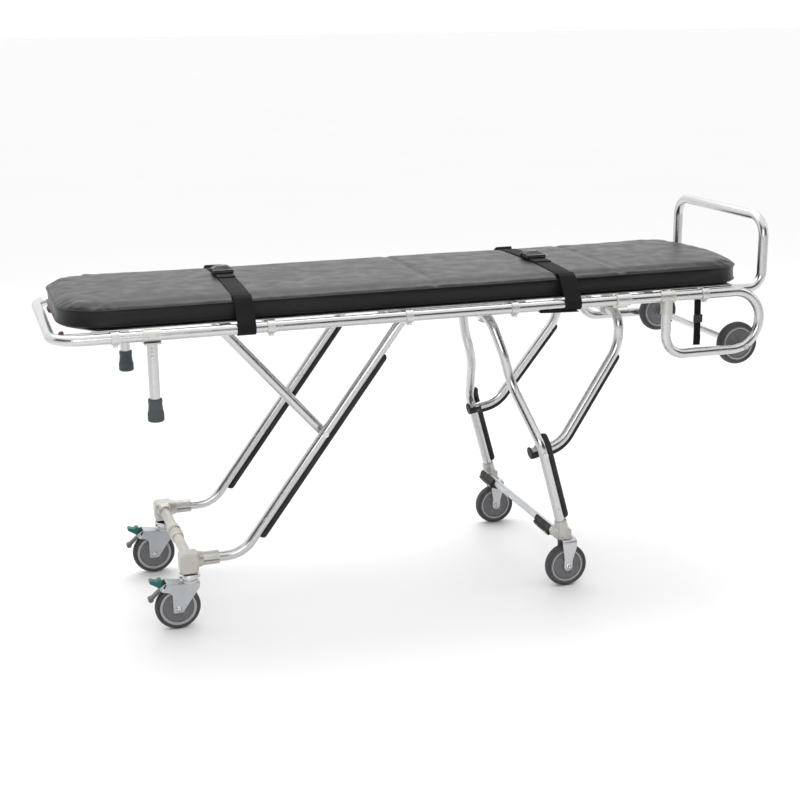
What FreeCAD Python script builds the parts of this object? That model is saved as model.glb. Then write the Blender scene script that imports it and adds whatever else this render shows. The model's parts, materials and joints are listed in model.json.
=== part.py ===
import FreeCAD, Part

# Folding ambulance cot: an aluminium tube frame on two folding leg sets.
# Frame of reference: millimetres, +Z up, +X towards the head (loading) end,
# origin on the floor under the middle of the cot's bounding box.

import math
import os
import re

import Sketcher

Vector = FreeCAD.Vector
Rotation = FreeCAD.Rotation
AXES = {"x": Vector(1, 0, 0), "y": Vector(0, 1, 0), "z": Vector(0, 0, 1)}
SIDES = {"left": 1, "right": -1}

doc = FreeCAD.newDocument("AmbulanceCot")

# --------------------------------------------------------------------------
# Driving dimensions
# --------------------------------------------------------------------------

DIMENSIONS = {
    # frame tube and the plan of the frame
    "tube_radius": 14.0,
    "tube_wall": 2.0,
    "rail_side": 286.0,
    "rail_height": 836.0,
    "foot_end_x": -1014.0,
    "foot_corner": 75.0,
    "foot_joint_x": -859.0,
    "loop_joint_x": 810.0,
    "loop_end_x": 909.0,
    "loop_radius": 85.0,
    "loop_corner": 60.0,
    "tee_x": 692.0,
    "tee_drop": 50.0,
    "hoop_x": 1014.0,
    "hoop_side": 254.0,
    "hoop_top": 1040.0,
    "hoop_foot_x": 725.0,
    "hoop_bend": 46.0,
    "hoop_corner": 58.0,
    # cross members, deck and collars
    "bearer_width": 30.0,
    "bearer_depth": 8.0,
    "bearer_top": 850.3,
    "deck_sheet_depth": 2.0,
    "deck_start_x": -968.0,
    "deck_end_x": 915.0,
    "deck_side": 262.0,
    "collar_radius": 17.0,
    "collar_width": 20.0,
    "sleeve_width": 44.0,
    # mattress and straps
    "pad_start_x": -990.0,
    "pad_end_x": 994.0,
    "pad_side": 250.0,
    "pad_depth": 60.0,
    "pad_foot_corner": 130.0,
    "pad_head_bow": 62.0,
    "strap_width": 50.0,
    "strap_depth": 3.0,
    "foot_strap_x": -514.0,
    "head_strap_x": 400.0,
    "foot_buckle_side": 70.0,
    "head_buckle_side": 0.0,
    "buckle_length": 66.0,
    "tail_strap_x": 806.0,
    "tail_strap_length": 175.0,
    # wheels and load axle
    "wheel_radius": 62.5,
    "tread": 13.0,
    "tread_half": 15.0,
    "hub_half": 20.0,
    "axle_radius": 6.0,
    "load_axle_radius": 10.0,
    "load_wheel_x": 948.0,
    "load_wheel_side": 246.0,
    "load_wheel_height": 673.5,
    "fit_gap": 0.06,
    # foot posts
    "post_x": -767.0,
    "post_bottom": 611.0,
    "post_tip_radius": 22.0,
    "post_tip_length": 60.0,
    # foot leg set
    "foot_leg_side": 222.0,
    "foot_strut_side": 190.0,
    "foot_pivot_height": 824.0,
    "slide_x": -70.0,
    "strut_top_x": -575.0,
    "leg_slope_x": 0.6,
    "leg_slope_z": 0.8,
    "mid_pivot": 389.0,
    "knee_height": 194.0,
    "knee_bend": 90.0,
    "pin_radius": 7.0,
    "bolt_radius": 5.0,
    "track_side": 150.0,
    "track_radius": 10.0,
    "track_start_x": -125.0,
    "track_end_x": 262.0,
    "slide_play": 3.2,
    "slide_radius": 17.0,
    "slide_half": 20.0,
    "stem_x": -691.0,
    "caster_trail": 36.0,
    "caster_side": 217.0,
    "guard_depth": 7.0,
    "guard_width": 14.0,
    # head leg set
    "head_bar_x": 220.0,
    "head_bar_height": 773.0,
    "head_leg_run": 0.262,
    "head_leg_side": 288.0,
    "head_neck_side": 158.0,
    "head_leg_length": 612.0,
    "head_mid_pivot": 379.0,
    "head_neck_reach": 190.0,
    "head_knee_reach": 350.0,
    "head_knee_bend": 60.0,
    "head_wheel_x": 397.0,
    "head_wheel_side": 283.0,
    "head_cross_reach": 628.0,
    "head_cross_back": 15.0,
    "head_cross_radius": 11.0,
    "head_slide_side": 62.0,
    "head_slide_start_x": -290.0,
    "head_slide_end_x": 250.0,
    "head_slide_bottom": 812.0,
    "hook_lean": 8.0,
    "brace_top_x": 578.0,
    "brace_top_height": 783.0,
    "brace_top_side": 216.0,
    "brace_side": 250.0,
    "brace_knee_height": 687.0,
    "brace_elbow_x": 387.0,
    "brace_elbow_height": 420.0,
    "brace_end_x": 298.0,
    "brace_end_height": 403.0,
    # cross bearers, rail collars and saddles along the frame
    "foot_bearer_x": -457.0,
    "middle_bearer_x": -79.0,
    "pivot_bearer_x": 225.0,
    "hook_bearer_x": 566.0,
    "tee_bearer_x": 640.0,
    "saddle_x": 553.0,
    "track_inset": 9.0,
    # release pulls
    "pull_guide_x": -870.0,
    "pull_guide_length": 70.0,
    "pull_height": 830.0,
    "pull_side": 180.0,
    "pull_rod_radius": 4.0,
}

sheet = doc.addObject("Spreadsheet::Sheet", "Dimensions")
for row, (alias, number) in enumerate(DIMENSIONS.items(), start=1):
    sheet.set("A%d" % row, alias)
    sheet.set("B%d" % row, str(number))
    sheet.setAlias("B%d" % row, alias)
doc.recompute()

ALIAS = re.compile(r"\b(%s)\b" % "|".join(sorted(DIMENSIONS, key=len, reverse=True)))


def size(alias):
    """A driving dimension, read back from the sheet."""
    return float(sheet.get(alias))


def bind(item, prop, text):
    """Bind a property to an expression in which dimensions go by their alias."""
    item.setExpression(prop, ALIAS.sub(r"Dimensions.\1", str(text)))


def place(item, x, y, z, axis="z"):
    """Stand an object's own Z along an axis, at a bound position."""
    item.Placement = FreeCAD.Placement(Vector(0, 0, 0), Rotation(AXES["z"], AXES[axis]))
    for letter, text in zip("xyz", (x, y, z)):
        bind(item, "Placement.Base." + letter, text)


# --------------------------------------------------------------------------
# Building blocks
# --------------------------------------------------------------------------

subparts = {}


def named(item, label):
    """Register an object as a sub-part under its file name."""
    item.Label = label
    subparts[label] = item
    return item


def cylinder(radius, length, x, y, z, axis="y"):
    """A bound cylinder centred on its position."""
    item = doc.addObject("Part::Cylinder", "Round")
    bind(item, "Radius", radius)
    bind(item, "Height", length)
    half = {letter: "" for letter in "xyz"}
    half[axis] = " - (%s) / 2" % length
    place(item, "%s%s" % (x, half["x"]), "%s%s" % (y, half["y"]), "%s%s" % (z, half["z"]), axis)
    return item


def box(x_size, y_size, z_size, x, y, z):
    """A bound box, centred in X and Y, whose underside is at z."""
    item = doc.addObject("Part::Box", "Block")
    bind(item, "Length", x_size)
    bind(item, "Width", y_size)
    bind(item, "Height", z_size)
    place(item, "%s - (%s) / 2" % (x, x_size), "%s - (%s) / 2" % (y, y_size), z)
    return item


def cut(base, *tools):
    """The base with every tool taken away."""
    for tool in tools:
        item = doc.addObject("Part::Cut", "Cut")
        item.Base = base
        item.Tool = tool
        base = item
    return base


def fuse(*members):
    """One solid made of touching members."""
    item = doc.addObject("Part::MultiFuse", "Joined")
    item.Shapes = list(members)
    return item


def group(members):
    """Separate solids that share one node."""
    item = doc.addObject("Part::Compound", "Group")
    item.Links = list(members)
    return item


def fixed_shape(shape):
    """A sub-part made directly with Part's own functions."""
    item = doc.addObject("Part::Feature", "Shape")
    item.Shape = shape
    return item


def tube(outer, inner, length, x, y, z, axis="y"):
    """A straight hollow tube centred on its position."""
    return cut(cylinder(outer, length, x, y, z, axis),
               cylinder(inner, "%s + 2" % length, x, y, z, axis))


def outline(body, role, points):
    """A closed polygon sketch whose corners are bound to expressions."""
    plane = [item for item in body.Origin.OriginFeatures if item.Role == role][0]
    sketch = body.newObject("Sketcher::SketchObject", "Outline")
    sketch.AttachmentSupport = [(plane, "")]
    sketch.MapMode = "FlatFace"
    count = len(points)
    spots = [evaluate(point) for point in points]
    for index in range(count):
        start, end = spots[index], spots[(index + 1) % count]
        sketch.addGeometry(Part.LineSegment(Vector(*start, 0), Vector(*end, 0)), False)
    for index in range(count):
        sketch.addConstraint(Sketcher.Constraint("Coincident", index, 2, (index + 1) % count, 1))
    for index, point in enumerate(points):
        for kind, text, spot in zip(("DistanceX", "DistanceY"), point, spots[index]):
            number = sketch.addConstraint(Sketcher.Constraint(kind, -1, 1, index, 1, spot))
            bind(sketch, "Constraints[%d]" % number, text)
    return sketch


def evaluate(point):
    """The numbers that a pair of expressions gives now."""
    sums = []
    for text in point:
        item = doc.addObject("App::FeaturePython", "Probe")
        item.addProperty("App::PropertyFloat", "Result")
        bind(item, "Result", text)
        item.recompute()
        sums.append(item.Result)
        doc.removeObject(item.Name)
    return sums


def turned(points):
    """A body turned about its own Z from half an outline of (radius, height)."""
    body = doc.addObject("PartDesign::Body", "Turned")
    profile = outline(body, "XZ_Plane", points)
    spin = body.newObject("PartDesign::Revolution", "Revolution")
    spin.Profile = profile
    spin.ReferenceAxis = (profile, ["V_Axis"])
    spin.Angle = 360
    body.Tip = spin
    return body


def plate(role, points, depth):
    """A body padded both ways from an outline in an origin plane."""
    body = doc.addObject("PartDesign::Body", "Plate")
    pad = body.newObject("PartDesign::Pad", "Pad")
    pad.Profile = outline(body, role, points)
    bind(pad, "Length", depth)
    pad.Midplane = True
    body.Tip = pad
    return body


def moved(item, x, y, z):
    """The same object, stood at a bound position without turning it."""
    for letter, text in zip("xyz", (x, y, z)):
        bind(item, "Placement.Base." + letter, text)
    return item


def bent_path(points, bends):
    """Straight runs through the points, joined by tangent arcs of the given radii."""
    corners = [Vector(*point) for point in points]
    edges = []
    start = corners[0]
    for before, corner, after, bend in zip(corners, corners[1:], corners[2:], bends):
        back = (before - corner).normalize()
        ahead = (after - corner).normalize()
        half_angle = back.getAngle(ahead) / 2
        reach = bend / math.tan(half_angle)
        first = corner + back * reach
        last = corner + ahead * reach
        centre = corner + (back + ahead).normalize() * (bend / math.sin(half_angle))
        middle = centre + (corner - centre).normalize() * bend
        edges.append(Part.LineSegment(start, first).toShape())
        edges.append(Part.Arc(first, middle, last).toShape())
        start = last
    edges.append(Part.LineSegment(start, corners[-1]).toShape())
    return Part.Wire(edges)


def swept(points, bends, radius):
    """A round bar along a bent path."""
    path = bent_path(points, bends)
    start = path.OrderedVertexes[0].Point
    along = path.OrderedEdges[0].tangentAt(path.OrderedEdges[0].FirstParameter)
    ring = Part.Wire([Part.makeCircle(radius, start, along)])
    return path.makePipeShell([ring], True, True)


def bent_tube(points, bends):
    """A bent piece of the frame tube, hollow from end to end."""
    outer = swept(points, bends, size("tube_radius"))
    return outer.cut(swept(points, bends, size("tube_radius") - size("tube_wall")))


def bore(shape, radius, x, z, y_from, y_to):
    """A shape with a hole drilled along Y."""
    drill = Part.makeCylinder(radius, y_to - y_from, Vector(x, y_from, z), AXES["y"])
    return shape.cut(drill)


# --------------------------------------------------------------------------
# Places worked out from the driving dimensions
# --------------------------------------------------------------------------

rail_y = size("rail_side")
rail_z = size("rail_height")
slide_z = size("foot_pivot_height")


def foot_leg_point(reach):
    """X and Z on a foot leg's straight run, at a distance below its top pin."""
    return (size("slide_x") - reach * size("leg_slope_x"),
            slide_z - reach * size("leg_slope_z"))


head_run = size("head_leg_run")
head_fall = math.sqrt(1 - head_run ** 2)


def head_leg_point(reach):
    """X and Z on the head legs' line, at a distance below their top bar."""
    return (size("head_bar_x") + reach * head_run,
            size("head_bar_height") - reach * head_fall)


knee_reach = (slide_z - size("knee_height")) / size("leg_slope_z")
foot_mid = foot_leg_point(size("mid_pivot"))
head_mid = head_leg_point(size("head_mid_pivot"))
RING_BEARERS = ["foot_joint_x", "foot_bearer_x", "middle_bearer_x", "pivot_bearer_x"]
PLAIN_BEARERS = ["strut_top_x", "tee_bearer_x"]
STIFFENERS = ["track_start_x + track_inset", "track_end_x - track_inset"]

# --------------------------------------------------------------------------
# Frame
# --------------------------------------------------------------------------


def foot_end():
    """The U-shaped tube round the foot end."""
    y = rail_y
    joint, end, corner = size("foot_joint_x"), size("foot_end_x"), size("foot_corner")
    points = [(joint, -y, rail_z), (end, -y, rail_z), (end, y, rail_z), (joint, y, rail_z)]
    return bent_tube(points, [corner, corner])


def load_loop(side):
    """The loop under the head end that carries the load wheel's axle."""
    y = side * rail_y
    radius = size("loop_radius")
    end = size("loop_end_x") + radius
    low = rail_z - 2 * radius
    points = [(size("loop_joint_x"), y, rail_z), (end, y, rail_z), (end, y, low),
              (size("tee_x"), y, low), (size("tee_x"), y, rail_z - size("tee_drop") + 12)]
    shape = bent_tube(points, [radius - 0.05, radius - 0.05, size("loop_corner")])
    return bore(shape, size("bolt_radius"), size("load_wheel_x"), size("load_wheel_height"),
                y - 20, y + 20)


def lift_hoop():
    """The lifting hoop: two feet along the rails, two uprights and a top bar."""
    y, x = size("hoop_side"), size("hoop_x")
    foot, top = size("hoop_foot_x"), size("hoop_top")
    bend, corner = size("hoop_bend"), size("hoop_corner")
    points = [(foot, -y, rail_z), (x, -y, rail_z), (x, -y, top),
              (x, y, top), (x, y, rail_z), (foot, y, rail_z)]
    return bent_tube(points, [bend, corner, corner, bend])


named(fixed_shape(foot_end()), "foot_end_tube")
named(fixed_shape(lift_hoop()), "lift_hoop")
for name, side in SIDES.items():
    named(fixed_shape(load_loop(side)), "load_loop_" + name)
named(group([tube("tube_radius", "tube_radius - tube_wall", "loop_joint_x - foot_joint_x",
                  "(loop_joint_x + foot_joint_x) / 2", "%d * rail_side" % side, "rail_height", "x")
             for side in SIDES.values()]), "side_rails")


def collar(x, side, width):
    """A split ring round the rail with a screwed ear below it."""
    y = "%d * rail_side" % side
    ring = cylinder("collar_radius", width, x, y, "rail_height", "x")
    ear = box("%s * 0.6" % width, 12, 8, x, y, "rail_height - collar_radius - 6")
    hole = cylinder("tube_radius", "%s + 2" % width, x, y, "rail_height", "x")
    screw = cylinder(2.5, 20, x, y, "rail_height - collar_radius - 2.5", "y")
    return cut(fuse(ring, ear), hole, screw)


def collar_screw(x, side):
    """The cross-head screw through a collar's ear."""
    y = "%d * rail_side" % side
    z = "rail_height - collar_radius - 2.5"
    return fuse(cylinder(2.4, 14, x, y, z), cylinder(3.5, 2, x, "%d * (rail_side + 7)" % side, z))


def double_clamp(side):
    """The collar over the loop's joint, with a second ring that grips the hoop's foot."""
    hoop_y = "%d * hoop_side" % side
    ring = cylinder("collar_radius", "collar_width", "loop_joint_x", hoop_y, "rail_height", "x")
    rail_hole = cylinder("tube_radius", "collar_width + 2", "loop_joint_x",
                         "%d * rail_side" % side, "rail_height", "x")
    foot_hole = cylinder("tube_radius", "collar_width + 2", "loop_joint_x", hoop_y,
                         "rail_height", "x")
    deck_room = box("collar_width + 2", "4 * collar_radius", 20, "loop_joint_x",
                    "%d * (hoop_side - collar_radius)" % side, "bearer_top")
    return cut(fuse(collar("loop_joint_x", side, "collar_width"), ring),
               rail_hole, foot_hole, deck_room)


named(group([collar(x, side, "collar_width") for x in RING_BEARERS for side in SIDES.values()]
            + [double_clamp(side) for side in SIDES.values()]), "rail_collars")


def axle_bolt(side):
    """The bolt that holds the load axle's end in its loop."""
    y = "%d * (rail_side + 2.35)" % side
    shank = cylinder("bolt_radius - fit_gap", "2 * tube_radius + 5.3", "load_wheel_x", y,
                     "load_wheel_height")
    head = cylinder("bolt_radius + 3", 4, "load_wheel_x",
                    "%d * (rail_side + tube_radius + 2.2)" % side, "load_wheel_height")
    return fuse(shank, head)


named(group([collar_screw(x, side) for x in RING_BEARERS + ["loop_joint_x"]
             for side in SIDES.values()]
            + [axle_bolt(side) for side in SIDES.values()]), "frame_screws")


def rail_tee(side):
    """The tee that joins the load loop's upright to the rail."""
    y = "%d * rail_side" % side
    sleeve = cylinder("collar_radius", "sleeve_width", "tee_x", y, "rail_height", "x")
    branch = cylinder("collar_radius", "tee_drop", "tee_x", y,
                      "rail_height - tee_drop / 2", "z")
    rail_hole = cylinder("tube_radius", "sleeve_width + 2", "tee_x", y, "rail_height", "x")
    socket = cylinder("tube_radius", "tee_drop", "tee_x", y,
                      "rail_height - 12 - tee_drop", "z")
    throat = cylinder("tube_radius - 4", "tee_drop", "tee_x", y,
                      "rail_height - 12 - tee_drop / 2", "z")
    return cut(fuse(sleeve, branch), rail_hole, socket, throat)


named(group([rail_tee(side) for side in SIDES.values()]), "rail_tees")


def brace_saddle(side):
    """The wide saddle over the brace's top corner."""
    y = "%d * rail_side" % side
    ring = cylinder("collar_radius", "sleeve_width", "saddle_x", y, "rail_height", "x")
    skirt = box("sleeve_width", 6, 22, "saddle_x", "%d * (rail_side - 14)" % side,
                "rail_height - collar_radius - 8")
    hole = cylinder("tube_radius", "sleeve_width + 2", "saddle_x", y, "rail_height", "x")
    return cut(fuse(ring, skirt), hole)


named(group([brace_saddle(side) for side in SIDES.values()]), "brace_saddles")


def post_sleeve(side):
    """The clamp that hangs a foot post's spigot under the rail."""
    y = "%d * rail_side" % side
    ring = cylinder("collar_radius", "sleeve_width", "post_x", y, "rail_height", "x")
    flange = box("sleeve_width", 36, 4, "post_x", y, "rail_height - collar_radius - 3")
    spigot = cylinder("tube_radius - tube_wall - fit_gap", 90, "post_x", y,
                      "rail_height - collar_radius - 3 - 45", "z")
    hole = cylinder("tube_radius", "sleeve_width + 2", "post_x", y, "rail_height", "x")
    return cut(fuse(ring, flange, spigot), hole)


named(group([post_sleeve(side) for side in SIDES.values()]), "post_sleeves")


def bearer(x, cope_radius):
    """A flat cross bar whose ends are coped to the rails or to their collars."""
    bar = box("bearer_width", "2 * rail_side", "bearer_depth", x, 0, "bearer_top - bearer_depth")
    copes = [cylinder(cope_radius, "sleeve_width + 10", x, "%d * rail_side" % side,
                      "rail_height", "x") for side in SIDES.values()]
    return cut(bar, *copes)


def stiffener(x):
    """A shorter cross bar under the deck sheet, over an end of the slide tracks."""
    return box("bearer_width", "2 * deck_side", "bearer_depth", x, 0, "bearer_top - bearer_depth")


named(group([bearer(x, "collar_radius") for x in RING_BEARERS + ["hook_bearer_x"]]
            + [bearer(x, "tube_radius") for x in PLAIN_BEARERS]
            + [stiffener(x) for x in STIFFENERS]), "cross_bearers")


def deck_corner(x, side):
    """One clipped corner of the deck sheet, cut clear of the foot-end bend."""
    return [(x, "%d * (deck_side - 90)" % side), ("%s + 70" % x, "%d * deck_side" % side)]


deck_points = deck_corner("deck_start_x", -1)
deck_points += [("deck_end_x", "0 - deck_side"), ("deck_end_x", "deck_side")]
deck_points += list(reversed(deck_corner("deck_start_x", 1)))
deck = plate("XY_Plane", deck_points, "deck_sheet_depth")
named(moved(deck, 0, 0, "bearer_top + deck_sheet_depth / 2"), "deck_sheet")

# --------------------------------------------------------------------------
# Foot posts, which pull down off their spigots
# --------------------------------------------------------------------------

POST_TOP = "rail_height - collar_radius - 3.3"


def post_tube(side):
    """A foot post with its three adjustment holes."""
    y = "%d * rail_side" % side
    length = "%s - post_bottom - 6" % POST_TOP
    middle = "(%s + post_bottom + 6) / 2" % POST_TOP
    wall = tube("tube_radius", "tube_radius - tube_wall", length, "post_x", y, middle, "z")
    holes = [cylinder(2.5, 34, "post_x - 3", y, "%s - %d" % (POST_TOP, drop)) for drop in (9, 19, 29)]
    return cut(wall, *holes)


def post_tip(side):
    """The flared rubber tip of a foot post, moulded round the tube's end."""
    tip = turned([("0", "0"), ("post_tip_radius - 2", "0"), ("post_tip_radius", "2"),
                  ("post_tip_radius", "24"), ("post_tip_radius - 2", "27"),
                  ("tube_radius + 3", "post_tip_length - 2"), ("tube_radius + 1.5", "post_tip_length"),
                  ("tube_radius", "post_tip_length"), ("tube_radius", "6"), ("0", "6")])
    return moved(tip, "post_x", "%d * rail_side" % side, "post_bottom")


for name, side in SIDES.items():
    named(post_tube(side), "foot_post_" + name)
    named(post_tip(side), "post_tip_" + name)

# --------------------------------------------------------------------------
# Wheels: each has a moulded hub and a rubber tyre
# --------------------------------------------------------------------------


def wheel(label, x, side_text, z, bore_radius, hub_half):
    """A hub turned with a recessed web, and its tyre, both about Y."""
    rim = "wheel_radius - tread"
    hub = turned([(bore_radius, "0 - %s" % hub_half), ("%s + 9" % bore_radius, "0 - %s" % hub_half),
                  ("%s + 11" % bore_radius, "-9"), ("%s - 7" % rim, "-9"), ("%s - 5" % rim, "-13"),
                  (rim, "-13"), (rim, "13"), ("%s - 5" % rim, "13"), ("%s - 7" % rim, "9"),
                  ("%s + 11" % bore_radius, "9"), ("%s + 9" % bore_radius, hub_half),
                  (bore_radius, hub_half)])
    tyre = turned([(rim, "0 - tread_half + 2"), ("%s + 2" % rim, "0 - tread_half"),
                   ("wheel_radius - 5", "0 - tread_half"), ("wheel_radius - 1", "0 - tread_half + 5"),
                   ("wheel_radius", "0 - 5"), ("wheel_radius", "5"),
                   ("wheel_radius - 1", "tread_half - 5"), ("wheel_radius - 5", "tread_half"),
                   ("%s + 2" % rim, "tread_half"), (rim, "tread_half - 2")])
    for item, suffix in ((hub, "_hub"), (tyre, "_tyre")):
        place(item, x, side_text, z, "y")
        named(item, label + suffix)


for name, side in SIDES.items():
    wheel("load_wheel_" + name, "load_wheel_x", "%d * load_wheel_side" % side,
          "load_wheel_height", "(load_axle_radius + fit_gap)", "hub_half")
    wheel("caster_wheel_" + name, "stem_x - caster_trail", "%d * caster_side" % side,
          "wheel_radius", "(axle_radius + fit_gap)", "(tread_half + 1)")
    wheel("head_wheel_" + name, "head_wheel_x", "%d * head_wheel_side" % side,
          "wheel_radius", "(axle_radius + fit_gap)", "(tread_half + 1)")

load_axle = cylinder("load_axle_radius", "2 * (rail_side - tube_radius) - 0.6",
                     "load_wheel_x", 0, "load_wheel_height")
named(load_axle, "load_axle")

# --------------------------------------------------------------------------
# Foot leg set: slide track, slide, struts, legs and castings
# --------------------------------------------------------------------------

named(group([cylinder("track_radius", "track_end_x - track_start_x",
                      "(track_end_x + track_start_x) / 2", "%d * track_side" % side,
                      "foot_pivot_height", "x") for side in SIDES.values()]), "slide_tracks")


def track_hanger(x, side):
    """A block between a cross bearer and the end of a slide track."""
    y = "%d * track_side" % side
    block = box(14, 26, "bearer_top - bearer_depth - foot_pivot_height + 16", x, y,
                "foot_pivot_height - 16")
    return cut(block, cylinder("track_radius", 20, x, y, "foot_pivot_height", "x"))


def slide_sleeve(side):
    """A sleeve that runs along the track, with the leg's top pin."""
    y = "%d * track_side" % side
    body = cylinder("slide_radius", "2 * slide_half", "slide_x", y, "foot_pivot_height", "x")
    pin = cylinder("pin_radius", "foot_leg_side + 16 - track_side", "slide_x",
                   "%d * (foot_leg_side + 16 + track_side) / 2" % side, "foot_pivot_height")
    hole = cylinder("track_radius + slide_play", "2 * slide_half + 2", "slide_x", y,
                    "foot_pivot_height", "x")
    return cut(fuse(body, pin), hole)


named(group([slide_sleeve(side) for side in SIDES.values()]), "leg_slide")

strut_shaft = cylinder("pin_radius", "2 * foot_strut_side + 32", "strut_top_x", 0,
                       "foot_pivot_height")
named(strut_shaft, "strut_shaft")


def shaft_hanger(side):
    """The block that holds the strut shaft under its bearer."""
    y = "%d * (foot_strut_side - 32)" % side
    block = box(26, 14, "bearer_top - bearer_depth - foot_pivot_height + 14", "strut_top_x", y,
                "foot_pivot_height - 14")
    return cut(block, cylinder("pin_radius", 20, "strut_top_x", y, "foot_pivot_height"))


named(group([track_hanger(x, side) for x in STIFFENERS for side in SIDES.values()]
            + [shaft_hanger(side) for side in SIDES.values()]), "frame_hangers")


def eye(x, y, z):
    """The round end boss of a folding tube, across the tube."""
    radius = size("tube_radius")
    return Part.makeCylinder(radius, 2 * radius, Vector(x, y - radius, z), AXES["y"])


def foot_strut(side):
    """A straight strut from the fixed shaft to the middle of a leg."""
    y = side * size("foot_strut_side")
    top = Vector(size("strut_top_x"), y, slide_z)
    low = Vector(foot_mid[0], y, foot_mid[1])
    along = low - top
    shape = Part.makeCylinder(size("tube_radius"), along.Length, top, along)
    shape = shape.fuse([eye(top.x, y, top.z), eye(low.x, y, low.z)])
    hollow = Part.makeCylinder(size("tube_radius") - size("tube_wall"), along.Length - 36,
                               top + along.normalize() * 18, along)
    shape = bore(shape.cut(hollow), size("pin_radius") + size("fit_gap"), top.x, top.z,
                 y - 20, y + 20)
    return bore(shape, size("bolt_radius") + size("fit_gap"), low.x, low.z, y - 20, y + 20)


def foot_leg(side):
    """A main leg: straight from its top pin, bent level into the casting."""
    y = side * size("foot_leg_side")
    knee = foot_leg_point(knee_reach)
    socket_x = size("stem_x") + 30
    points = [(size("slide_x"), y, slide_z), (knee[0], y, knee[1]), (socket_x, y, knee[1])]
    outer = swept(points, [size("knee_bend")], size("tube_radius"))
    outer = outer.fuse(eye(size("slide_x"), y, slide_z))
    top = foot_leg_point(18)
    points[0] = (top[0], y, top[1])
    inner = swept(points, [size("knee_bend")], size("tube_radius") - size("tube_wall"))
    shape = bore(outer.cut(inner), size("pin_radius") + size("fit_gap"), size("slide_x"), slide_z,
                 y - 20, y + 20)
    return bore(shape, size("bolt_radius"), foot_mid[0], foot_mid[1], y - 20, y + 20)


def foot_guard(side):
    """The rubber bumper strip along a leg's front."""
    y = side * size("foot_leg_side")
    low, high = 658.0, 132.0
    depth, width = size("guard_depth"), size("guard_width")
    block = Part.makeBox(low - high, width, depth + 6)
    lean = math.degrees(math.atan2(size("leg_slope_z"), size("leg_slope_x")))
    start = foot_leg_point(low)
    off = size("tube_radius") + depth
    base = Vector(start[0] + off * size("leg_slope_z"), y - width / 2,
                  start[1] - off * size("leg_slope_x"))
    block.Placement = FreeCAD.Placement(base, Rotation(AXES["y"], -lean))
    along = Vector(size("leg_slope_x"), 0, size("leg_slope_z"))
    seat = Part.makeCylinder(size("tube_radius"), 800, Vector(start[0], y, start[1]) - along * 40,
                             along)
    return block.cut(seat)


def foot_casting(side):
    """The elbow casting over a caster's stem, with sockets for leg and cross tube."""
    y = side * size("foot_leg_side")
    stem = size("stem_x")
    height = size("knee_height")
    block = Part.makeBox(56, 54, 62, Vector(stem - 28, y - 27, height - 32))
    block = block.makeFillet(9, [edge for edge in block.Edges])
    socket = Part.makeCylinder(18, 62, Vector(stem + 20, y, height), AXES["x"])
    throat = Part.makeCone(24, 18, 30, Vector(stem + 16, y, height), AXES["x"])
    foot = Part.makeCylinder(25, 12, Vector(stem, side * size("caster_side"), height - 44))
    cross = Part.makeCylinder(20, 22, Vector(stem, y - side * 18, height), AXES["y"] * -side)
    shape = block.fuse([socket, throat, foot, cross])
    shape = shape.cut(Part.makeCylinder(size("tube_radius"), 60, Vector(stem + 30, y, height),
                                        AXES["x"]))
    shape = shape.cut(Part.makeCylinder(size("tube_radius"), 20, Vector(stem, y - side * 24, height),
                                        AXES["y"] * -side))
    stem_hole = size("pin_radius") + size("fit_gap")
    return shape.cut(Part.makeCylinder(stem_hole, 36, Vector(stem, side * size("caster_side"),
                                                             height - 46)))


def both(shape_of):
    """The left and right copies of a piece, as separate solids of one node."""
    return group([fixed_shape(shape_of(side)) for side in SIDES.values()])


named(both(foot_strut), "foot_struts")
named(both(foot_leg), "foot_legs")
named(both(foot_guard), "foot_leg_guards")
named(both(foot_casting), "foot_castings")


def mid_bolt(x, z, inner, outer, side):
    """A pivot bolt along Y with a head at each end."""
    span = outer - inner
    shank = cylinder("bolt_radius", span, x, side * (inner + outer) / 2, z)
    heads = [cylinder("bolt_radius + 3", 3, x, side * (end + lean), z)
             for end, lean in ((inner, -1.4), (outer, 1.4))]
    return fuse(shank, *heads)


foot_strut_inner = size("foot_strut_side") - size("tube_radius") - 0.4
foot_leg_outer = size("foot_leg_side") + size("tube_radius") + 0.3
named(group([mid_bolt(foot_mid[0], foot_mid[1], foot_strut_inner, foot_leg_outer, side)
             for side in SIDES.values()]), "foot_pivot_bolts")

cross_span = "2 * (foot_leg_side - 24)"
cross_tube = tube("tube_radius", "tube_radius - tube_wall", cross_span, "stem_x", 0, "knee_height")
coupling = fuse(tube(16.5, "tube_radius", 62, "stem_x", 0, "knee_height"),
                *[tube(18.5, "tube_radius", 12, "stem_x", y, "knee_height") for y in (-25, 25)])
named(group([cross_tube, coupling]), "foot_cross_tube")

# --------------------------------------------------------------------------
# Swivel casters with their brakes
# --------------------------------------------------------------------------

BRAKE_X = size("stem_x") - size("caster_trail") - 39
BRAKE_Z = size("knee_height") - 72


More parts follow.
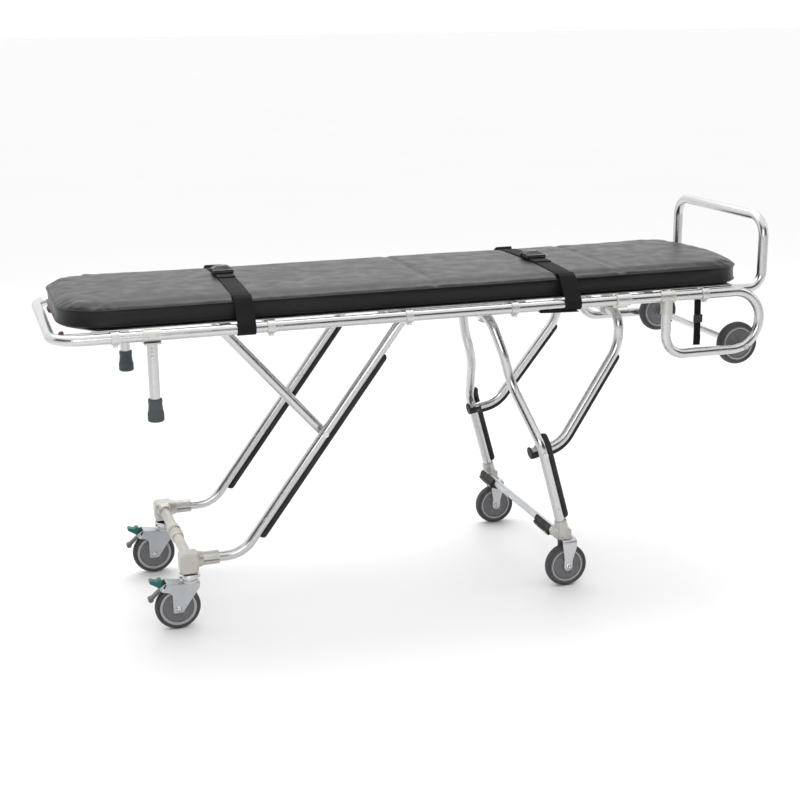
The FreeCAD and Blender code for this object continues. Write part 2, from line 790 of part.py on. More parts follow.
def caster_fork(side):
    """A pressed fork: two cheeks with a nose for the brake, a top plate and a stem."""
    stem, trail = size("stem_x"), size("caster_trail")
    y = side * size("caster_side")
    radius = size("wheel_radius")
    top = size("knee_height") - 62
    cheeks = []
    for offset in (-22.0, 19.0):
        corners = [(stem + 24, top), (stem + 18, top - 22), (stem - trail + 14, radius - 10),
                   (stem - trail - 12, radius - 10), (stem - trail - 20, top - 32),
                   (stem - trail - 50, top - 26), (stem - trail - 54, top - 8),
                   (stem - trail - 20, top)]
        wire = Part.makePolygon([Vector(x, y + offset, z) for x, z in corners + corners[:1]])
        cheek = Part.Face(wire).extrude(Vector(0, 3, 0))
        cheeks.append(cheek)
    roof = Part.makeBox(trail + 44, 44, 4, Vector(stem - trail - 20, y - 22, top - 4))
    race = Part.makeCylinder(25, 7, Vector(stem, y, top))
    crown = Part.makeCylinder(21, 5.7, Vector(stem, y, top + 7))
    spindle = Part.makeCylinder(size("pin_radius"), 44, Vector(stem, y, top + 4))
    axle = Part.makeCylinder(size("axle_radius"), 52, Vector(stem - trail, y - 26, radius),
                             AXES["y"])
    pin = Part.makeCylinder(4, 48, Vector(BRAKE_X, y - 24, BRAKE_Z), AXES["y"])
    shape = cheeks[0].fuse([cheeks[1], roof, race, crown, spindle])
    shape = bore(shape, size("axle_radius"), stem - trail, radius, y - 30, y + 30)
    return [bore(shape, 4, BRAKE_X, BRAKE_Z, y - 30, y + 30), axle, pin]


def brake_pedal(side):
    """The coloured toe pedal with its two wings, hinged in the fork's nose."""
    y = side * size("caster_side")
    x, z = BRAKE_X, BRAKE_Z
    hub = Part.makeCylinder(7, 26, Vector(x, y - 13, z), AXES["y"])
    neck = Part.makeBox(13, 20, 18, Vector(x - 9, y - 10, z + 3))
    toe = Part.makeBox(36, 26, 7, Vector(x - 33, y - 13, z + 18))
    wing = Part.makeBox(11, 42, 9, Vector(x - 34, y - 21, z + 18))
    shape = hub.fuse([neck, toe, wing])
    return bore(shape, 4 + size("fit_gap"), x, z, y - 30, y + 30)


def brake_arm(side):
    """The steel arm that the pedal swings against the tread."""
    y = side * size("caster_side")
    corners = [(-4, 6), (-12, 12), (-30, -6), (-40, -32), (-33, -40), (-28, -34), (-16, -14)]
    wire = Part.makePolygon([Vector(BRAKE_X + across, y - 9, BRAKE_Z + up)
                             for across, up in corners + corners[:1]])
    return Part.Face(wire).extrude(Vector(0, 18, 0))


for name, side in SIDES.items():
    named(group([fixed_shape(shape) for shape in caster_fork(side)]), "caster_fork_" + name)
    pedal = brake_pedal(side)
    arm = brake_arm(side).cut(pedal)
    named(group([fixed_shape(pedal), fixed_shape(arm)]), "brake_pedal_" + name)

# --------------------------------------------------------------------------
# Head leg set: arch, castings, forks, cross rod and brace
# --------------------------------------------------------------------------


def head_arch():
    """Both head legs: one tube, narrow at its top bar, spread wide below."""
    neck, wide = size("head_neck_side"), size("head_leg_side")
    half = [(0, neck - 40), (104, neck), (size("head_neck_reach"), neck),
            (size("head_knee_reach"), wide), (size("head_leg_length"), wide)]
    right = [(head_leg_point(reach)[0], -y, head_leg_point(reach)[1]) for reach, y in half]
    left = [(x, -y, z) for x, y, z in right]
    points = right[::-1] + left
    bends = [size("head_knee_bend"), 120, 110, 46]
    shape = bent_tube(points, bends + bends[::-1])
    x, z = head_mid
    return bore(shape, size("bolt_radius"), x, z, -wide - 20, wide + 20)


def head_brace():
    """The U-shaped brace: top bar, two arms and their bent-in lower ends."""
    top_x, top_z = size("brace_top_x"), size("brace_top_height")
    top_y, low_y = size("brace_top_side"), size("brace_side")
    half = [(top_x, top_y, top_z), (top_x, top_y, size("brace_knee_height")),
            (size("brace_elbow_x"), low_y, size("brace_elbow_height")),
            (size("brace_end_x"), low_y, size("brace_end_height"))]
    right = [(x, -y, z) for x, y, z in half]
    points = right[::-1] + half
    bends = [90, 110, 44]
    shape = bent_tube(points, bends + bends[::-1])
    x, z = head_mid
    return bore(shape, size("bolt_radius") + size("fit_gap"), x, z, -300, 300)


def head_slide_guide(side):
    """A guide bar that the arch's top bar slides under, with the open hook that it rests in."""
    x, z = size("head_bar_x"), size("head_bar_height")
    y = side * size("head_slide_side") - 5
    low, top = size("head_slide_bottom"), size("bearer_top") - size("bearer_depth")
    start, end = size("head_slide_start_x"), size("head_slide_end_x")
    rail = Part.makeBox(end - start, 10, top - low, Vector(start, y, low))
    web = Part.makeBox(22, 10, low - z, Vector(x, y, z))
    ring = Part.makeCylinder(21, 10, Vector(x, y, z), AXES["y"])
    seat = size("tube_radius") + 0.4
    escape = Part.makeBox(120, 14, 2 * seat, Vector(-120, 0, -seat))
    escape.Placement = FreeCAD.Placement(Vector(x, y - 2, z), Rotation(AXES["y"], size("hook_lean")))
    return bore(rail.fuse([web, ring]), seat, x, z, y - 5, y + 15).cut(escape)


def brace_bearing(side):
    """A bearing plate that hangs the brace's top bar under the frame."""
    x, z = size("brace_top_x"), size("brace_top_height")
    top = size("bearer_top") - size("bearer_depth")
    y = side * 135 - 6
    web = Part.makeBox(34, 12, top - z, Vector(x - 17, y, z))
    ring = Part.makeCylinder(21, 12, Vector(x, y, z), AXES["y"])
    return bore(web.fuse(ring), size("tube_radius") + size("fit_gap"), x, z, y - 5, y + 20)


def head_cross_point():
    """X and Z of the cross tube's axis, a little behind the head legs' line."""
    x, z = head_leg_point(size("head_cross_reach"))
    back = size("head_cross_back")
    return x - back * head_fall, z - back * head_run


def head_casting(side):
    """The casting at a head leg's foot, with its socket and fork seat."""
    y = side * size("head_leg_side")
    start = head_leg_point(size("head_leg_length") - 34)
    along = Vector(head_run, 0, -head_fall)
    sleeve = Part.makeCylinder(18.5, 62, Vector(start[0], y, start[1]), along)
    socket = Part.makeCylinder(size("tube_radius"), 34, Vector(start[0], y, start[1]), along)
    x, z = head_cross_point()
    boss = Part.makeCylinder(15, 24, Vector(x, y - side * 12, z), AXES["y"] * -side)
    shape = sleeve.fuse(boss).cut(socket)
    return shape.cut(Part.makeBox(90, 60, 60, Vector(size("head_wheel_x") - 50, y - 30, 76)))


def head_fork(side):
    """A rigid fork below the casting: a bridge and two cheeks."""
    y = side * size("head_wheel_side")
    x, radius = size("head_wheel_x"), size("wheel_radius")
    bridge = Part.makeBox(40, 44, 4, Vector(x - 26, y - 22, 132))
    cheeks = []
    for offset in (-22.0, 19.0):
        corners = [(x - 26, 136), (x + 14, 136), (x + 14, 122), (x + 9, radius - 10),
                   (x - 9, radius - 10), (x - 26, 122)]
        wire = Part.makePolygon([Vector(px, y + offset, pz) for px, pz in corners + corners[:1]])
        cheeks.append(Part.Face(wire).extrude(Vector(0, 3, 0)))
    axle = Part.makeCylinder(size("axle_radius"), 52, Vector(x, y - 26, radius), AXES["y"])
    fork_shape = bridge.fuse(cheeks)
    return [bore(fork_shape, size("axle_radius"), x, radius, y - 30, y + 30), axle]


def head_leg_guard(side):
    """The bumper strip on the front of a head leg's lower half."""
    y = side * size("head_leg_side")
    off = size("tube_radius") + 1.0
    ends = []
    for reach in (385, 574):
        x, z = head_leg_point(reach)
        ends.append(Vector(x + off * head_fall, y, z + off * head_run))
    along = ends[1] - ends[0]
    strip = Part.makeCylinder(size("guard_width") / 2, along.Length, ends[0], along)
    core_start = head_leg_point(300)
    core = Part.makeCylinder(size("tube_radius"), 400, Vector(core_start[0], y, core_start[1]),
                             Vector(head_run, 0, -head_fall))
    return strip.cut(core)


named(fixed_shape(head_arch()), "head_leg_arch")
named(fixed_shape(head_brace()), "head_brace")
named(both(head_slide_guide), "head_slide_guides")
named(both(brace_bearing), "brace_bearings")
named(both(head_casting), "head_castings")
named(group([fixed_shape(shape) for side in SIDES.values() for shape in head_fork(side)]),
      "head_forks")
named(both(head_leg_guard), "head_leg_guards")

named(group([mid_bolt(head_mid[0], head_mid[1], size("brace_side") - 14.4,
                      size("head_leg_side") + 14.3, side) for side in SIDES.values()]),
      "head_pivot_bolts")
cross_x, cross_z = head_cross_point()
named(tube("head_cross_radius", "head_cross_radius - tube_wall", "2 * (head_leg_side - 36)",
           cross_x, 0, cross_z), "head_cross_tube")

# --------------------------------------------------------------------------
# Release pulls at the foot end
# --------------------------------------------------------------------------


def pull_guide(side):
    """The guide block that a release pull's rod slides in, under the foot bearer."""
    y = "%d * pull_side" % side
    block = box("pull_guide_length", 18, "bearer_top - bearer_depth - pull_height + 9",
                "pull_guide_x", y, "pull_height - 9")
    return cut(block, cylinder("pull_rod_radius + fit_gap", "pull_guide_length + 10",
                               "pull_guide_x", y, "pull_height", "x"))


def release_pull(side):
    """A pull rod and the moulded grip across its outer end."""
    y = "%d * pull_side" % side
    rod = cylinder("pull_rod_radius", 136, "pull_guide_x - 41", y, "pull_height", "x")
    grip = box(15, 72, 14, "pull_guide_x - 113", y, "pull_height - 7")
    return group([cut(rod, grip), grip])


named(group([pull_guide(side) for side in SIDES.values()]), "pull_guides")
for name, side in SIDES.items():
    named(release_pull(side), "release_pull_" + name)

# --------------------------------------------------------------------------
# Mattress and straps
# --------------------------------------------------------------------------

pad_bottom = size("bearer_top") + size("deck_sheet_depth") + 0.3


def mattress():
    """The pad as a plain slab with rounded foot corners and a bowed head end."""
    start, end, y = size("pad_start_x"), size("pad_end_x"), size("pad_side")
    corner, bow = size("pad_foot_corner"), size("pad_head_bow")
    z = pad_bottom
    nook = corner * (1 - math.sqrt(0.5))
    edges = [
        Part.LineSegment(Vector(end - bow, -y, z), Vector(start + corner, -y, z)),
        Part.Arc(Vector(start + corner, -y, z), Vector(start + nook, -y + nook, z),
                 Vector(start, -y + corner, z)),
        Part.LineSegment(Vector(start, -y + corner, z), Vector(start, y - corner, z)),
        Part.Arc(Vector(start, y - corner, z), Vector(start + nook, y - nook, z),
                 Vector(start + corner, y, z)),
        Part.LineSegment(Vector(start + corner, y, z), Vector(end - bow, y, z)),
        Part.Arc(Vector(end - bow, y, z), Vector(end, 0, z), Vector(end - bow, -y, z)),
    ]
    face = Part.Face(Part.Wire([edge.toShape() for edge in edges]))
    return face.extrude(Vector(0, 0, size("pad_depth")))


def strap(x):
    """A webbing belt round the mattress and both rails."""
    depth, width = size("strap_depth"), size("strap_width")
    gap = 0.4
    top = pad_bottom + size("pad_depth") + gap
    low = rail_z - size("collar_radius") - 1
    pad_y = size("pad_side") + gap
    wide = rail_y + size("tube_radius") + gap
    inner = [(-pad_y, top), (pad_y, top), (wide, rail_z + 6), (wide, rail_z - 8),
             (wide - 12, low), (-wide + 12, low), (-wide, rail_z - 8), (-wide, rail_z + 6)]
    ring = Part.makePolygon([Vector(x - width / 2, y, z) for y, z in inner + inner[:1]])
    outer = ring.makeOffset2D(depth, 2)
    band = Part.Face(outer).extrude(Vector(width, 0, 0))
    band = band.cut(Part.Face(ring).extrude(Vector(width, 0, 0)))
    open_y = rail_y - size("tube_radius") - 4
    under = Part.makeBox(width + 2, 2 * open_y, 40, Vector(x - width / 2 - 1, -open_y, low - 20))
    return band.cut(under)


def buckle(x, y):
    """A side-release buckle lying on the strap."""
    top = pad_bottom + size("pad_depth") + size("strap_depth") + 0.8
    length = size("buckle_length")
    body = Part.makeBox(58, length, 12, Vector(x - 29, y - length / 2, top))
    return body.makeFillet(4, [edge for edge in body.Edges])


named(fixed_shape(mattress()), "mattress")
ends = ("foot", "head")
for end in ends:
    named(fixed_shape(strap(size(end + "_strap_x"))), end + "_strap")
buckles = [buckle(size(end + "_strap_x"), size(end + "_buckle_side")) for end in ends]
named(group([fixed_shape(shape) for shape in buckles]), "strap_buckles")
tail = box(22, "strap_depth", "tail_strap_length", "tail_strap_x + 30", -205,
           "bearer_top - bearer_depth - tail_strap_length")
named(tail, "hanging_strap")

# --------------------------------------------------------------------------
# Checks and export
# --------------------------------------------------------------------------

doc.recompute()
for item in doc.Objects:
    bad = {"Invalid", "Error"} & set(item.State)
    if bad:
        raise RuntimeError("%s (%s) is %s" % (item.Name, item.Label, bad))
for label, item in subparts.items():
    if item.Shape.isNull() or not item.Shape.isValid():
        raise RuntimeError("sub-part %s has no valid shape" % label)

os.makedirs("parts", exist_ok=True)
for label, item in subparts.items():
    item.Shape.exportStep("parts/%s.step" % label)
print("sub-parts written:", len(subparts))
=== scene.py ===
import json
import math

import bmesh
import bpy
from mathutils import Matrix, Vector, noise


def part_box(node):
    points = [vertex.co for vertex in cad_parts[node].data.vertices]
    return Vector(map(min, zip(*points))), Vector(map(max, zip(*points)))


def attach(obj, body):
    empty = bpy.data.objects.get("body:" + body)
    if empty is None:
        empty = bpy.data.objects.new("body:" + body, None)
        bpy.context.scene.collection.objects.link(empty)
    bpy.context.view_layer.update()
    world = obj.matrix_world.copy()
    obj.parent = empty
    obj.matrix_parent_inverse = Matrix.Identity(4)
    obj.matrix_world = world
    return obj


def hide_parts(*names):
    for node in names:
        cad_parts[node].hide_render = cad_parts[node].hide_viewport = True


# Folding ambulance cot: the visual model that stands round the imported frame. Metres, +Z up,
# +X towards the head (loading) end, +Y to the cot's left.

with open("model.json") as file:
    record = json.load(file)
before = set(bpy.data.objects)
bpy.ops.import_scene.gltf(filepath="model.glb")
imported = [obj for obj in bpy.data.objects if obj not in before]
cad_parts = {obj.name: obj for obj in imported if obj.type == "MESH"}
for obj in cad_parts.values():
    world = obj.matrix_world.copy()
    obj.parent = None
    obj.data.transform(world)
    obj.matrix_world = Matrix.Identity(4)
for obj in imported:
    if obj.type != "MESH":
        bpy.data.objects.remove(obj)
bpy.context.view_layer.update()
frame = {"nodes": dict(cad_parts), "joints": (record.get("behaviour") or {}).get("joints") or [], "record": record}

X, Y, Z = Vector((1, 0, 0)), Vector((0, 1, 0)), Vector((0, 0, 1))
SIDES = {"left": 1, "right": -1}
TUBE = 0.014    # the radius of every tube
CORE = 0.0001   # the radius at which a turned solid is closed
JOINTS = {joint["name"]: joint for joint in frame["joints"]}


def pivot(joint):
    """Where a joint turns, in the middle plane or on its own side."""
    return Vector(JOINTS[joint]["pos_m"])


def centre(node):
    """The middle of a CAD node's box."""
    low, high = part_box(node)
    return (low + high) / 2


def mm(value):
    """A length, or a point or list of lengths, that is written in millimetres."""
    if isinstance(value, (list, tuple)):
        return type(value)(mm(part) for part in value)
    return value / 1000


# ---- Materials


class Shader:
    """A Principled material, with short calls for the nodes that give it detail."""

    def __init__(self, name, **sockets):
        self.material = bpy.data.materials.new(name)
        self.material.use_nodes = True
        self.tree = self.material.node_tree
        self.surface = self.tree.nodes["Principled BSDF"]
        for socket, value in sockets.items():
            self.surface.inputs[socket.replace("_", " ")].default_value = value
        self.place = self.node("ShaderNodeTexCoord").outputs["Object"]

    def node(self, kind, inputs=None, **settings):
        item = self.tree.nodes.new(kind)
        for key, value in settings.items():
            setattr(item, key, value)
        for key, value in (inputs or {}).items():
            if isinstance(value, bpy.types.NodeSocket):
                self.tree.links.new(value, item.inputs[key])
            else:
                item.inputs[key].default_value = value
        return item

    def noise(self, scale, detail=4.0, stretch=(1, 1, 1)):
        """Cloudy noise in the object's own space, between 0 and 1."""
        mapping = self.node("ShaderNodeMapping", {"Vector": self.place, "Scale": stretch})
        inputs = {"Vector": mapping.outputs[0], "Scale": scale, "Detail": detail}
        return self.node("ShaderNodeTexNoise", inputs).outputs["Fac"]

    def spread(self, value, start, end, low=0.0, high=1.0):
        """A value's stretch from start to end, spread over low to high."""
        inputs = {"Value": value, "From Min": start, "From Max": end, "To Min": low, "To Max": high}
        return self.node("ShaderNodeMapRange", inputs).outputs["Result"]

    def mix(self, factor, first, second):
        """A colour between two, each a triple or a socket."""
        pair = [c if isinstance(c, bpy.types.NodeSocket) else (*c, 1) for c in (first, second)]
        inputs = {"Fac": factor, "Color1": pair[0], "Color2": pair[1]}
        return self.node("ShaderNodeMixRGB", inputs).outputs["Color"]

    def maths(self, operation, first, second):
        """One sum on two values."""
        return self.node("ShaderNodeMath", {0: first, 1: second}, operation=operation).outputs[0]

    def edges(self):
        """1 on worn outer edges, 0 elsewhere."""
        geometry = self.node("ShaderNodeNewGeometry")
        return self.spread(geometry.outputs["Pointiness"], 0.52, 0.6)

    def bump(self, height, distance, strength=1.0, under=None):
        """Relief from a height, in metres, over an earlier relief."""
        inputs = {"Height": height, "Distance": distance, "Strength": strength}
        if under is not None:
            inputs["Normal"] = under
        return self.node("ShaderNodeBump", inputs).outputs["Normal"]

    def finish(self, colour=None, roughness=None, normal=None):
        """Link what was made to the surface and hand the material back."""
        for key, value in (("Base Color", colour), ("Roughness", roughness), ("Normal", normal)):
            if value is not None:
                self.tree.links.new(value, self.surface.inputs[key])
        return self.material


def scaled(colour, factor):
    """A colour made lighter or darker."""
    return tuple(min(1.0, part * factor) for part in colour)


def metal(name, colour, roughness, texture, depth, wear):
    """Metal with cloudy handling marks, a fine grain and brighter edges."""
    shader = Shader(name, Metallic=1.0)
    clouds = shader.noise(7)
    grain = shader.noise(texture, 6)
    tint = shader.mix(shader.spread(clouds, 0.35, 0.7), scaled(colour, 0.86), colour)
    tint = shader.mix(shader.maths("MULTIPLY", shader.edges(), wear), tint, (0.95, 0.95, 0.95))
    rough = shader.spread(shader.noise(30), 0.3, 0.7, roughness * 0.75, roughness * 1.3)
    return shader.finish(tint, rough, shader.bump(grain, depth, 0.6))


def drawn_tube(name, colour, roughness):
    """Drawn aluminium tube: fine lengthwise lines, light scuffs and handling marks."""
    shader = Shader(name, Metallic=1.0)
    lines = shader.noise(60, 5, (0.4, 9, 9))
    marks = shader.spread(shader.noise(45, 8), 0.62, 0.72)
    tint = shader.mix(shader.spread(shader.noise(5), 0.3, 0.7), scaled(colour, 0.9), colour)
    tint = shader.mix(shader.maths("MULTIPLY", marks, 0.25), tint, scaled(colour, 0.6))
    rough = shader.spread(lines, 0.25, 0.75, roughness * 0.7, roughness * 1.4)
    rough = shader.maths("ADD", rough, shader.maths("MULTIPLY", marks, 0.12))
    return shader.finish(tint, rough, shader.bump(lines, 0.00004, 0.5))


def polymer(name, colour, roughness, texture, depth, dust, coat):
    """Rubber or moulded plastic: fine moulding texture, dust in the clouds, scuffed edges."""
    shader = Shader(name, Specular_IOR_Level=0.3, Coat_Weight=coat, Coat_Roughness=0.25)
    clouds = shader.spread(shader.noise(12, 6), 0.4, 0.75)
    dusty = shader.mix(shader.maths("MULTIPLY", clouds, dust), colour, (0.35, 0.33, 0.30))
    tint = shader.mix(shader.maths("MULTIPLY", shader.edges(), 0.25), dusty, scaled(colour, 2.5))
    rough = shader.spread(shader.noise(40), 0.3, 0.7, roughness * 0.8, min(1.0, roughness * 1.2))
    return shader.finish(tint, rough, shader.bump(shader.noise(texture, 3), depth, 0.7))


def vinyl(name):
    """Black coated vinyl: leather grain, shallow creases and a soft sheen."""
    shader = Shader(name, Specular_IOR_Level=0.22, Coat_Weight=0.10, Coat_Roughness=0.3)
    grain = shader.node("ShaderNodeTexVoronoi", {"Vector": shader.place, "Scale": 620.0},
                        feature="DISTANCE_TO_EDGE").outputs["Distance"]
    creases = shader.noise(16, 3, (1, 1.8, 1))
    ripples = shader.noise(48, 4, (1.5, 0.8, 1))
    rub = shader.spread(shader.noise(4, 5), 0.45, 0.75)
    tint = shader.mix(rub, (0.006, 0.006, 0.0065), (0.014, 0.0135, 0.013))
    rough = shader.spread(shader.noise(22, 5), 0.3, 0.7, 0.30, 0.46)
    relief = shader.bump(creases, 0.0026, 0.30)
    relief = shader.bump(ripples, 0.0006, 0.30, relief)
    relief = shader.bump(shader.spread(grain, 0.0, 0.12), 0.00012, 0.5, relief)
    return shader.finish(tint, rough, relief)


def webbing(name):
    """Woven belt: ribs across and along, a faint sheen, and painted shade that colours the hollows between the
    yarns darker than their raised tops.
    """
    shader = Shader(name, Specular_IOR_Level=0.15, Sheen_Weight=0.05, Sheen_Roughness=0.4)
    split = shader.node("ShaderNodeSeparateXYZ", {"Vector": shader.place})
    run = shader.maths("ADD", split.outputs["Y"], split.outputs["Z"])
    ribs = shader.maths("SINE", shader.maths("MULTIPLY", run, 2600.0), 0.0)
    cords = shader.maths("SINE", shader.maths("MULTIPLY", split.outputs["X"], 1900.0), 0.0)
    raised = shader.spread(shader.maths("MULTIPLY", ribs, cords), -1.0, 1.0)
    # Painted shade: the weave's hollows are coloured darker and the raised yarns lighter, following the same
    # pattern as the bump.
    tint = shader.mix(raised, (0.004, 0.004, 0.0045), (0.014, 0.014, 0.0145))
    tint = shader.mix(shader.spread(shader.noise(18, 4), 0.5, 0.8, 0, 0.2), tint, (0.03, 0.029, 0.028))
    rough = shader.spread(shader.noise(900, 2), 0.3, 0.7, 0.7, 0.95)
    return shader.finish(tint, rough, shader.bump(raised, 0.00035, 0.8))


METALS = {
    # name: colour, roughness, grain's scale and depth, wear along edges
    "cast_grey": ((0.55, 0.53, 0.495), 0.46, 180, 0.00009, 0.25),
    "sheet_alloy": ((0.66, 0.66, 0.67), 0.36, 140, 0.00002, 0.15),
    "zinc_steel": ((0.50, 0.52, 0.54), 0.42, 240, 0.00003, 0.15),
    "screw_steel": ((0.55, 0.55, 0.56), 0.30, 500, 0.00001, 0.3),
    "dark_steel": ((0.17, 0.155, 0.145), 0.40, 300, 0.00003, 0.3),
    "chrome": ((0.62, 0.62, 0.63), 0.13, 300, 0.000005, 0.15),
}
POLYMERS = {
    # name: colour, roughness, grain's scale and depth, dust, coat
    "hub_grey": ((0.15, 0.15, 0.16), 0.5, 300, 0.00003, 0.08, 0),
    "ring_grey": ((0.34, 0.34, 0.345), 0.5, 300, 0.00003, 0.05, 0),
    "ring_pale": ((0.50, 0.50, 0.50), 0.45, 300, 0.00003, 0.05, 0),
    "tyre_grey": ((0.050, 0.051, 0.055), 0.62, 420, 0.00005, 0.10, 0),
    "guard_rubber": ((0.012, 0.012, 0.012), 0.55, 350, 0.00005, 0.04, 0),
    "tip_rubber": ((0.058, 0.070, 0.077), 0.6, 300, 0.00005, 0.08, 0),
    "pedal_green": ((0.006, 0.125, 0.105), 0.42, 300, 0.00003, 0.04, 0.2),
    "grip_red": ((0.10, 0.010, 0.012), 0.5, 300, 0.00003, 0.05, 0),
    "buckle_plastic": ((0.014, 0.014, 0.015), 0.34, 400, 0.00002, 0.03, 0.2),
}
MATERIALS = {name: metal(name, *looks) for name, looks in METALS.items()}
MATERIALS.update((name, polymer(name, *looks)) for name, looks in POLYMERS.items())
MATERIALS["satin_tube"] = drawn_tube("satin_tube", (0.59, 0.59, 0.59), 0.23)
MATERIALS["pad_vinyl"] = vinyl("pad_vinyl")
MATERIALS["webbing"] = webbing("webbing")

SLOT_OF = {part["node"]: part["material_slot"] for part in frame["record"]["subparts"]}


def paint(piece, name):
    """Give a piece one material of this scene."""
    piece.data.materials.clear()
    piece.data.materials.append(MATERIALS[name])


for node, carried in frame["nodes"].items():
    paint(carried, SLOT_OF[node])


def add(piece, body, material, stands_for=()):
    """Finish a new piece: its material, its body and what it stands for."""
    paint(piece, material)
    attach(piece, body)
    if stands_for:
        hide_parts(*stands_for)
    return piece


def once(node, side):
    """The node that stands for both sides, named by the right-hand piece only."""
    return [node] if side < 0 else ()


# ---- Mesh building blocks


def shown(name, mesh):
    """An object with a mesh, in the scene."""
    piece = bpy.data.objects.new(name, mesh)
    bpy.context.scene.collection.objects.link(piece)
    return piece


def from_bmesh(name, bm):
    """An object from a finished bmesh, which is freed."""
    mesh = bpy.data.meshes.new(name)
    bm.to_mesh(mesh)
    bm.free()
    return shown(name, mesh)


def smooth_faces(mesh):
    """Shade every face smooth."""
    mesh.polygons.foreach_set("use_smooth", [True] * len(mesh.polygons))


def mesh_piece(name, verts, faces):
    """A smooth object from its points and faces."""
    mesh = bpy.data.meshes.new(name)
    mesh.from_pydata([tuple(v) for v in verts], [], faces)
    mesh.validate()
    smooth_faces(mesh)
    return shown(name, mesh)


def settled(piece):
    """Swap a piece's mesh for what its modifiers make of it."""
    evaluated = piece.evaluated_get(bpy.context.evaluated_depsgraph_get())
    mesh = bpy.data.meshes.new_from_object(evaluated)
    piece.modifiers.clear()
    piece.data = mesh
    return piece


def joined(name, members):
    """One object from several, which are used up."""
    bm = bmesh.new()
    for member in members:
        bm.from_mesh(member.data)
        bpy.data.objects.remove(member)
    return from_bmesh(name, bm)


def rounded(points, radii, steps=5):
    """A closed 2D outline whose corners are arcs, of one radius or one for each corner."""
    if not isinstance(radii, list):
        radii = [radii] * len(points)
    outline = []
    for index, (corner, radius) in enumerate(zip(points, radii)):
        here = Vector(corner)
        if not radius:
            outline.append(tuple(here))
            continue
        back = Vector(points[index - 1]) - here
        ahead = Vector(points[(index + 1) % len(points)]) - here
        angle = back.angle(ahead)
        reach = min(radius / math.tan(angle / 2), back.length * 0.49, ahead.length * 0.49)
        size = reach * math.tan(angle / 2)
        back, ahead = back.normalized(), ahead.normalized()
        middle = here + (back + ahead).normalized() * (size / math.sin(angle / 2))
        start = here + back * reach - middle
        turn = start.angle_signed(here + ahead * reach - middle)
        for step in range(steps + 1):
            spun = Matrix.Rotation(-turn * step / steps, 2) @ start
            outline.append(tuple(middle + spun))
    return outline


def bent(points, radii, spacing=0.008):
    """Points along straight runs joined by tangent arcs."""
    corners = [Vector(point) for point in points]
    line = [corners[0]]
    for before, corner, after, radius in zip(corners, corners[1:], corners[2:], radii):
        back, ahead = (before - corner).normalized(), (after - corner).normalized()
        half = back.angle(ahead) / 2
        first = corner + back * radius / math.tan(half)
        middle = corner + (back + ahead).normalized() * radius / math.sin(half)
        axis = (first - middle).cross(corner - middle).normalized()
        sweep_angle = math.pi - 2 * half
        steps = max(6, int(sweep_angle * radius / spacing))
        for step in range(steps + 1):
            turn = Matrix.Rotation(sweep_angle * step / steps, 3, axis)
            line.append(middle + turn @ (first - middle))
    line.append(corners[-1])
    return line


def resampled(line, spacing):
    """The same line with evenly spaced points."""
    lengths = [0.0]
    for first, second in zip(line, line[1:]):
        lengths.append(lengths[-1] + (second - first).length)
    count = max(2, round(lengths[-1] / spacing))
    out, index = [], 0
    for step in range(count + 1):
        reach = lengths[-1] * step / count
        while index < len(line) - 2 and lengths[index + 1] < reach:
            index += 1
        span = lengths[index + 1] - lengths[index]
        part = (reach - lengths[index]) / span if span else 0
        out.append(line[index].lerp(line[index + 1], min(1.0, part)))
    return out


def tangents(line, closed=False):
    """The direction of a line at each of its points."""
    before, after = (line[-1], line[0]) if closed else (line[0], line[-1])
    row = [before, *line, after]
    return [(ahead - behind).normalized() for behind, ahead in zip(row, row[2:])]


def ellipse(width, height, count):
    """An oval section, as (across, up) pairs."""
    turns = [2 * math.pi * index / count for index in range(count)]
    return [(width / 2 * math.cos(turn), height / 2 * math.sin(turn)) for turn in turns]


def rounded_bar(width, height, radius, steps=4):
    """A rectangle about the middle, with rounded corners."""
    corners = [(-width / 2, -height / 2), (width / 2, -height / 2),
               (width / 2, height / 2), (-width / 2, height / 2)]
    return rounded(corners, radius, steps)


def arc_wall(inner, outer, first, last, steps=26):
    """The outline of a curved wall round an axis, between two angles in degrees."""
    turns = [math.radians(first + (last - first) * step / steps) for step in range(steps + 1)]
    return ([(outer * math.cos(turn), outer * math.sin(turn)) for turn in turns]
            + [(inner * math.cos(turn), inner * math.sin(turn)) for turn in reversed(turns)])


def mirrored(profile):
    """One outline from a profile of (radius, along) pairs and its mirror image."""
    return [(radius, -along) for radius, along in profile] + profile[::-1]


def row_faces(count, ring, closed=False):
    """The faces between a row of equal rings of points, with caps on an open row's ends."""
    faces = []
    for index in range(count if closed else count - 1):
        here, there = index * ring, (index + 1) % count * ring
        for side in range(ring):
            after = (side + 1) % ring
            faces.append((here + side, here + after, there + after, there + side))
    if not closed:
        faces.append(tuple(range(ring))[::-1])
        faces.append(tuple((count - 1) * ring + side for side in range(ring)))
    return faces


def sweep(name, line, up, section, closed=False, grow=None):
    """A section carried along a line; up is one direction or one for each point."""
    verts = []
    for index, (point, along) in enumerate(zip(line, tangents(line, closed))):
        rise = up[index] if isinstance(up, list) else up
        rise = (rise - along * rise.dot(along)).normalized()
        across = along.cross(rise)
        size = grow(index / (len(line) - 1)) if grow else 1.0
        verts += [point + across * (a * size) + rise * (b * size) for a, b in section]
    return mesh_piece(name, verts, row_faces(len(line), len(section), closed))


def turned(name, outline, place, axis=Y, count=72):
    """A closed outline of (radius, along) pairs turned about an axis through a place."""
    helper = Z if abs(axis.dot(Z)) < 0.9 else X
    first = axis.cross(helper).normalized()
    second = axis.cross(first)
    verts = []
    for step in range(count):
        turn = 2 * math.pi * step / count
        spoke = first * math.cos(turn) + second * math.sin(turn)
        verts += [place + spoke * radius + axis * along for radius, along in outline]
    faces = [(a, d, c, b) for a, b, c, d in row_faces(count, len(outline), closed=True)]
    return mesh_piece(name, verts, faces)


